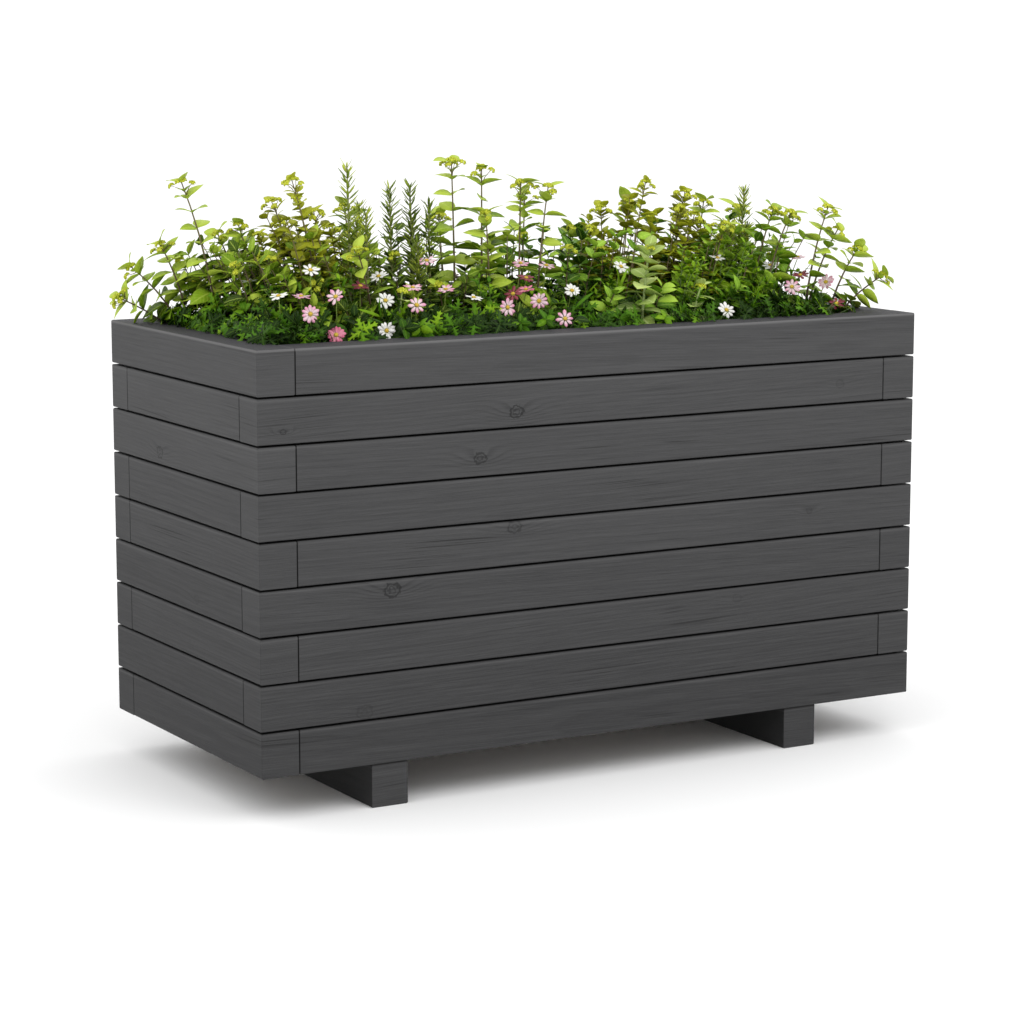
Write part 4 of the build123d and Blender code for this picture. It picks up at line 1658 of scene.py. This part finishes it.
    def spill(self, leaves: Piece, stems: StemBundle, drift: Drift, templates: Sequence[Template]) -> None:
        """Plant a drift of flat sprigs that lie over the rim.

        Args:
            leaves: What the leaves are added to.
            stems: What the stems are added to.
            drift: Where their tips lie.
            templates: The leaves, the commonest first.
        """
        chance = self.chance
        habit = Habit(3, 4, 0.7, 0.9, 0.8, 4, 14, 45.0)
        for x, y, height in drift.spots(chance):
            template = chance.choices(templates, (3, 2))[0]
            tip = over_rim(x, y, height)
            stem = Stem(foot_below(tip, chance), tip, 0.0013)
            stems.add(stem, steps=3)
            leaf_up(leaves, template, stem, habit, chance, chance.uniform(*drift.shades), chance.uniform(0.6, 0.85))

    def bushes(self, stems: StemBundle) -> Piece:
        """Plant the twiggy bushes with small leaves, three stems to each.

        Args:
            stems: What the stems are added to.

        Returns:
            Their leaves.
        """
        chance = self.chance
        small = Blade("small_leaf", 0.017, 0.0085, widest=0.45, blunt=0.7, fold=0.15, droop=0.15, rows=3).template()
        leaves, habit = Piece("small_bush_leaves"), Habit(11, 2, 0.1, 1.0, 0.6, 5, 45, 77.0)
        for drift in BUSH_DRIFTS:
            for x, y, height in drift.spots(chance):
                for _ in range(3):
                    beside = x + chance.uniform(-0.02, 0.02), y + chance.uniform(-0.015, 0.015)
                    tip = over_rim(*beside, height * chance.uniform(0.8, 1.0))
                    if hides_daisy(tip):
                        continue
                    stem = Stem(foot_below(over_rim(x, y, height), chance), tip, 0.0010)
                    stems.add(stem, steps=4)
                    shade, size = chance.uniform(*drift.shades), chance.uniform(0.85, 1.25)
                    leaf_up(leaves, small, stem, habit, chance, shade, size)
        return leaves

    def near_broad(self, x: float, y: float) -> bool:
        """Whether a place at the front is kept free for the broad-leaved plants."""
        return y < -0.13 and 0.085 < x < 0.165

    def broad(self) -> None:
        """The pale broad-leaved plants at the front."""
        chance = self.chance
        wide = Blade("broad_leaf", 0.041, 0.029, widest=0.45, blunt=0.62, fold=0.14, droop=0.3, rows=6).template()
        stems, leaves = StemBundle("broad_stems"), Piece("broad_leaves")
        for foot, spot, pairs, size in (
            ((0.118, -0.165), (0.124, -0.178, 0.112), 11, 1.0),
            ((0.20, -0.175), (0.212, -0.185, 0.052), 5, 0.85),
            ((-0.27, -0.12), (-0.268, -0.13, 0.06), 6, 0.8),
        ):
            tip = over_rim(*spot)
            stem = Stem(Vector((*foot, ROOT_Z)), tip, 0.0026)
            stems.add(stem)
            leaf_up(leaves, wide, stem, Habit(pairs, 2, 0.16, 1.05, 0.6, 0, 45, 78.0), chance, 0.6, size)
            self.heads.bloom(tip, stem.heading(1.0), 0.0075, 20, chance)
        stems.finish(BROAD_STEM.material(), "broad_leaf")
        leaves.finish([BROAD_LEAF.material()], "broad_leaf", "broad_leaf_plants")


@dataclass
class Daisies:
    """The daisies, with their eyes, petals, cups and stems."""

    seed: int
    plants: tuple[Daisy, ...] = DAISIES

    def build(self) -> None:
        """Grow the daisies."""
        chance = random.Random(self.seed)
        petal = Blade(
            "petal", 0.0116, 0.0054, widest=0.62, blunt=0.5, fold=-0.12, droop=0.12, rows=5, thickness=0.0003
        ).template()
        bm = bmesh.new()
        bmesh.ops.create_icosphere(bm, subdivisions=2, radius=0.0031)
        bmesh.ops.scale(bm, verts=bm.verts, vec=(1.0, 1.0, 0.55))
        eye = Template(bm, "daisy_eye")
        bm = bmesh.new()
        bmesh.ops.create_cone(bm, cap_ends=True, segments=10, radius1=0.0010, radius2=0.0036, depth=0.003)
        cup = Template(bm, "daisy_cup")
        petals = {tint: Piece(f"daisy_petals_{tint.value}") for tint in Tint}
        eyes, cups, stems = Piece("daisy_eyes"), Piece("daisy_cups"), StemBundle("daisy_stems")
        for plant in self.plants:
            head = over_rim(plant.x, plant.y, plant.height)
            towards = Vector((-0.42, -1.0, 0.0)) if plant.y < 0 else Vector((0.3, 1.0, 0.0))
            lean = math.radians(plant.facing.value + chance.uniform(-12, 12))
            sway = Matrix.Rotation(chance.uniform(-0.6, 0.6), 3, "Z") @ towards.normalized()
            look = (sway * math.sin(lean) + Vector((0, 0, math.cos(lean)))).normalized()
            turn = look.to_track_quat("Z", "Y").to_matrix().to_4x4()
            stand = Matrix.Translation(head) @ turn
            foot = Vector((head.x * 0.97, max(head.y + 0.02, -INSIDE_Y + 0.02), COMPOST_TOP - 0.003))
            stems.add(Stem(foot, head - look * 0.003, 0.0014))
            count = chance.choice((8, 9, 10, 11, 13))
            for index in range(count):
                around = Matrix.Rotation(math.tau * index / count + chance.uniform(-0.09, 0.09), 4, "Z")
                rise = Matrix.Rotation(math.radians(chance.uniform(-4, 22)), 4, "X")
                start = Matrix.Translation((0, 0.0022, 0.0))
                size = Matrix.Scale(chance.uniform(0.88, 1.1), 4)
                petals[plant.tint].add(petal, stand @ around @ start @ rise @ size, chance.random())
            eyes.add(eye, stand @ Matrix.Translation((0, 0, 0.0008)), chance.random())
            cups.add(cup, stand @ Matrix.Translation((0, 0, -0.0016)), chance.random())
        stands_for = {Tint.WHITE: ("daisy_plants",)}
        for tint, piece in petals.items():
            piece.finish([PETALS[tint].material()], "daisy_petal", *stands_for.get(tint, ()))
        eyes.finish([DAISY_EYE.material()], "daisy_petal")
        green = DAISY_STEM.material()
        cups.finish([green], "feathery_leaf")
        stems.finish(green, "feathery_leaf")


# ---------------------------------------------------------------- studio


@dataclass
class Studio:
    """A plain pale floor, soft light from all round and above, and the camera."""

    camera_place: tuple[float, float, float] = (-2.2489, -3.8816, 1.0834)
    camera_turn: float = 29.973
    camera_dip: float = 9.143
    lens: float = 103.49
    sensor: float = 36.0
    floor_reach: float = 60.0
    sky: float = 1.2
    aim_height: float = 0.5

    def build(self) -> None:
        """Set up the floor, the lights and the camera."""
        self.floor()
        self.lights()
        self.camera()

    def floor(self) -> None:
        """Lay the floor."""
        bm = bmesh.new()
        bmesh.ops.create_grid(bm, x_segments=1, y_segments=1, size=self.floor_reach)
        mesh = bpy.data.meshes.new("studio_floor")
        bm.to_mesh(mesh)
        bm.free()
        graph = Graph("pale_floor")
        mesh.materials.append(graph.finish(Base_Color=(0.96, 0.96, 0.96), Roughness=0.9, Specular_IOR_Level=0.1))
        floor = bpy.data.objects.new("studio_floor", mesh)
        bpy.context.scene.collection.objects.link(floor)

    def lights(self) -> None:
        """Fill the room with even light, and add large soft lamps above the front and the left."""
        world = bpy.data.worlds.new("studio_light")
        bpy.context.scene.world = world
        world.use_nodes = True
        background = world.node_tree.nodes["Background"]
        background.inputs["Color"].default_value = (1.0, 1.0, 1.0, 1.0)
        background.inputs["Strength"].default_value = self.sky
        self.lamp("front_lamp", (0.1, -1.9, 2.0), size=1.2, power=13.0)
        self.lamp("left_lamp", (-2.1, -0.5, 1.9), size=1.4, power=4.6)

    def lamp(self, name: str, place: tuple[float, float, float], size: float, power: float) -> None:
        """Hang a square lamp that faces the planter.

        Args:
            name: Its name.
            place: Where it hangs.
            size: Its side.
            power: Its power in watts.
        """
        data = bpy.data.lights.new(name, "AREA")
        data.size = size
        data.energy = power
        lamp = bpy.data.objects.new(name, data)
        lamp.location = place
        towards = Vector((0, 0, self.aim_height)) - Vector(place)
        lamp.rotation_euler = towards.to_track_quat("-Z", "Y").to_euler()
        lamp.visible_camera = False
        bpy.context.scene.collection.objects.link(lamp)

    def camera(self) -> None:
        """Place the camera."""
        data = bpy.data.cameras.new("camera")
        data.lens = self.lens
        data.sensor_width = self.sensor
        camera = bpy.data.objects.new("camera", data)
        camera.location = self.camera_place
        camera.rotation_euler = (math.radians(90 - self.camera_dip), 0.0, math.radians(-self.camera_turn))
        bpy.context.scene.collection.objects.link(camera)
        bpy.context.scene.camera = camera
        bpy.context.scene.view_settings.view_transform = "Standard"


def main() -> None:
    """Build the looks in order."""
    logging.basicConfig(level=logging.INFO, format="%(message)s")
    Studio().build()
    PlanterBox().dress()
    CompostSurface().build()
    Planting().build()


if __name__ == "__main__":
    main()
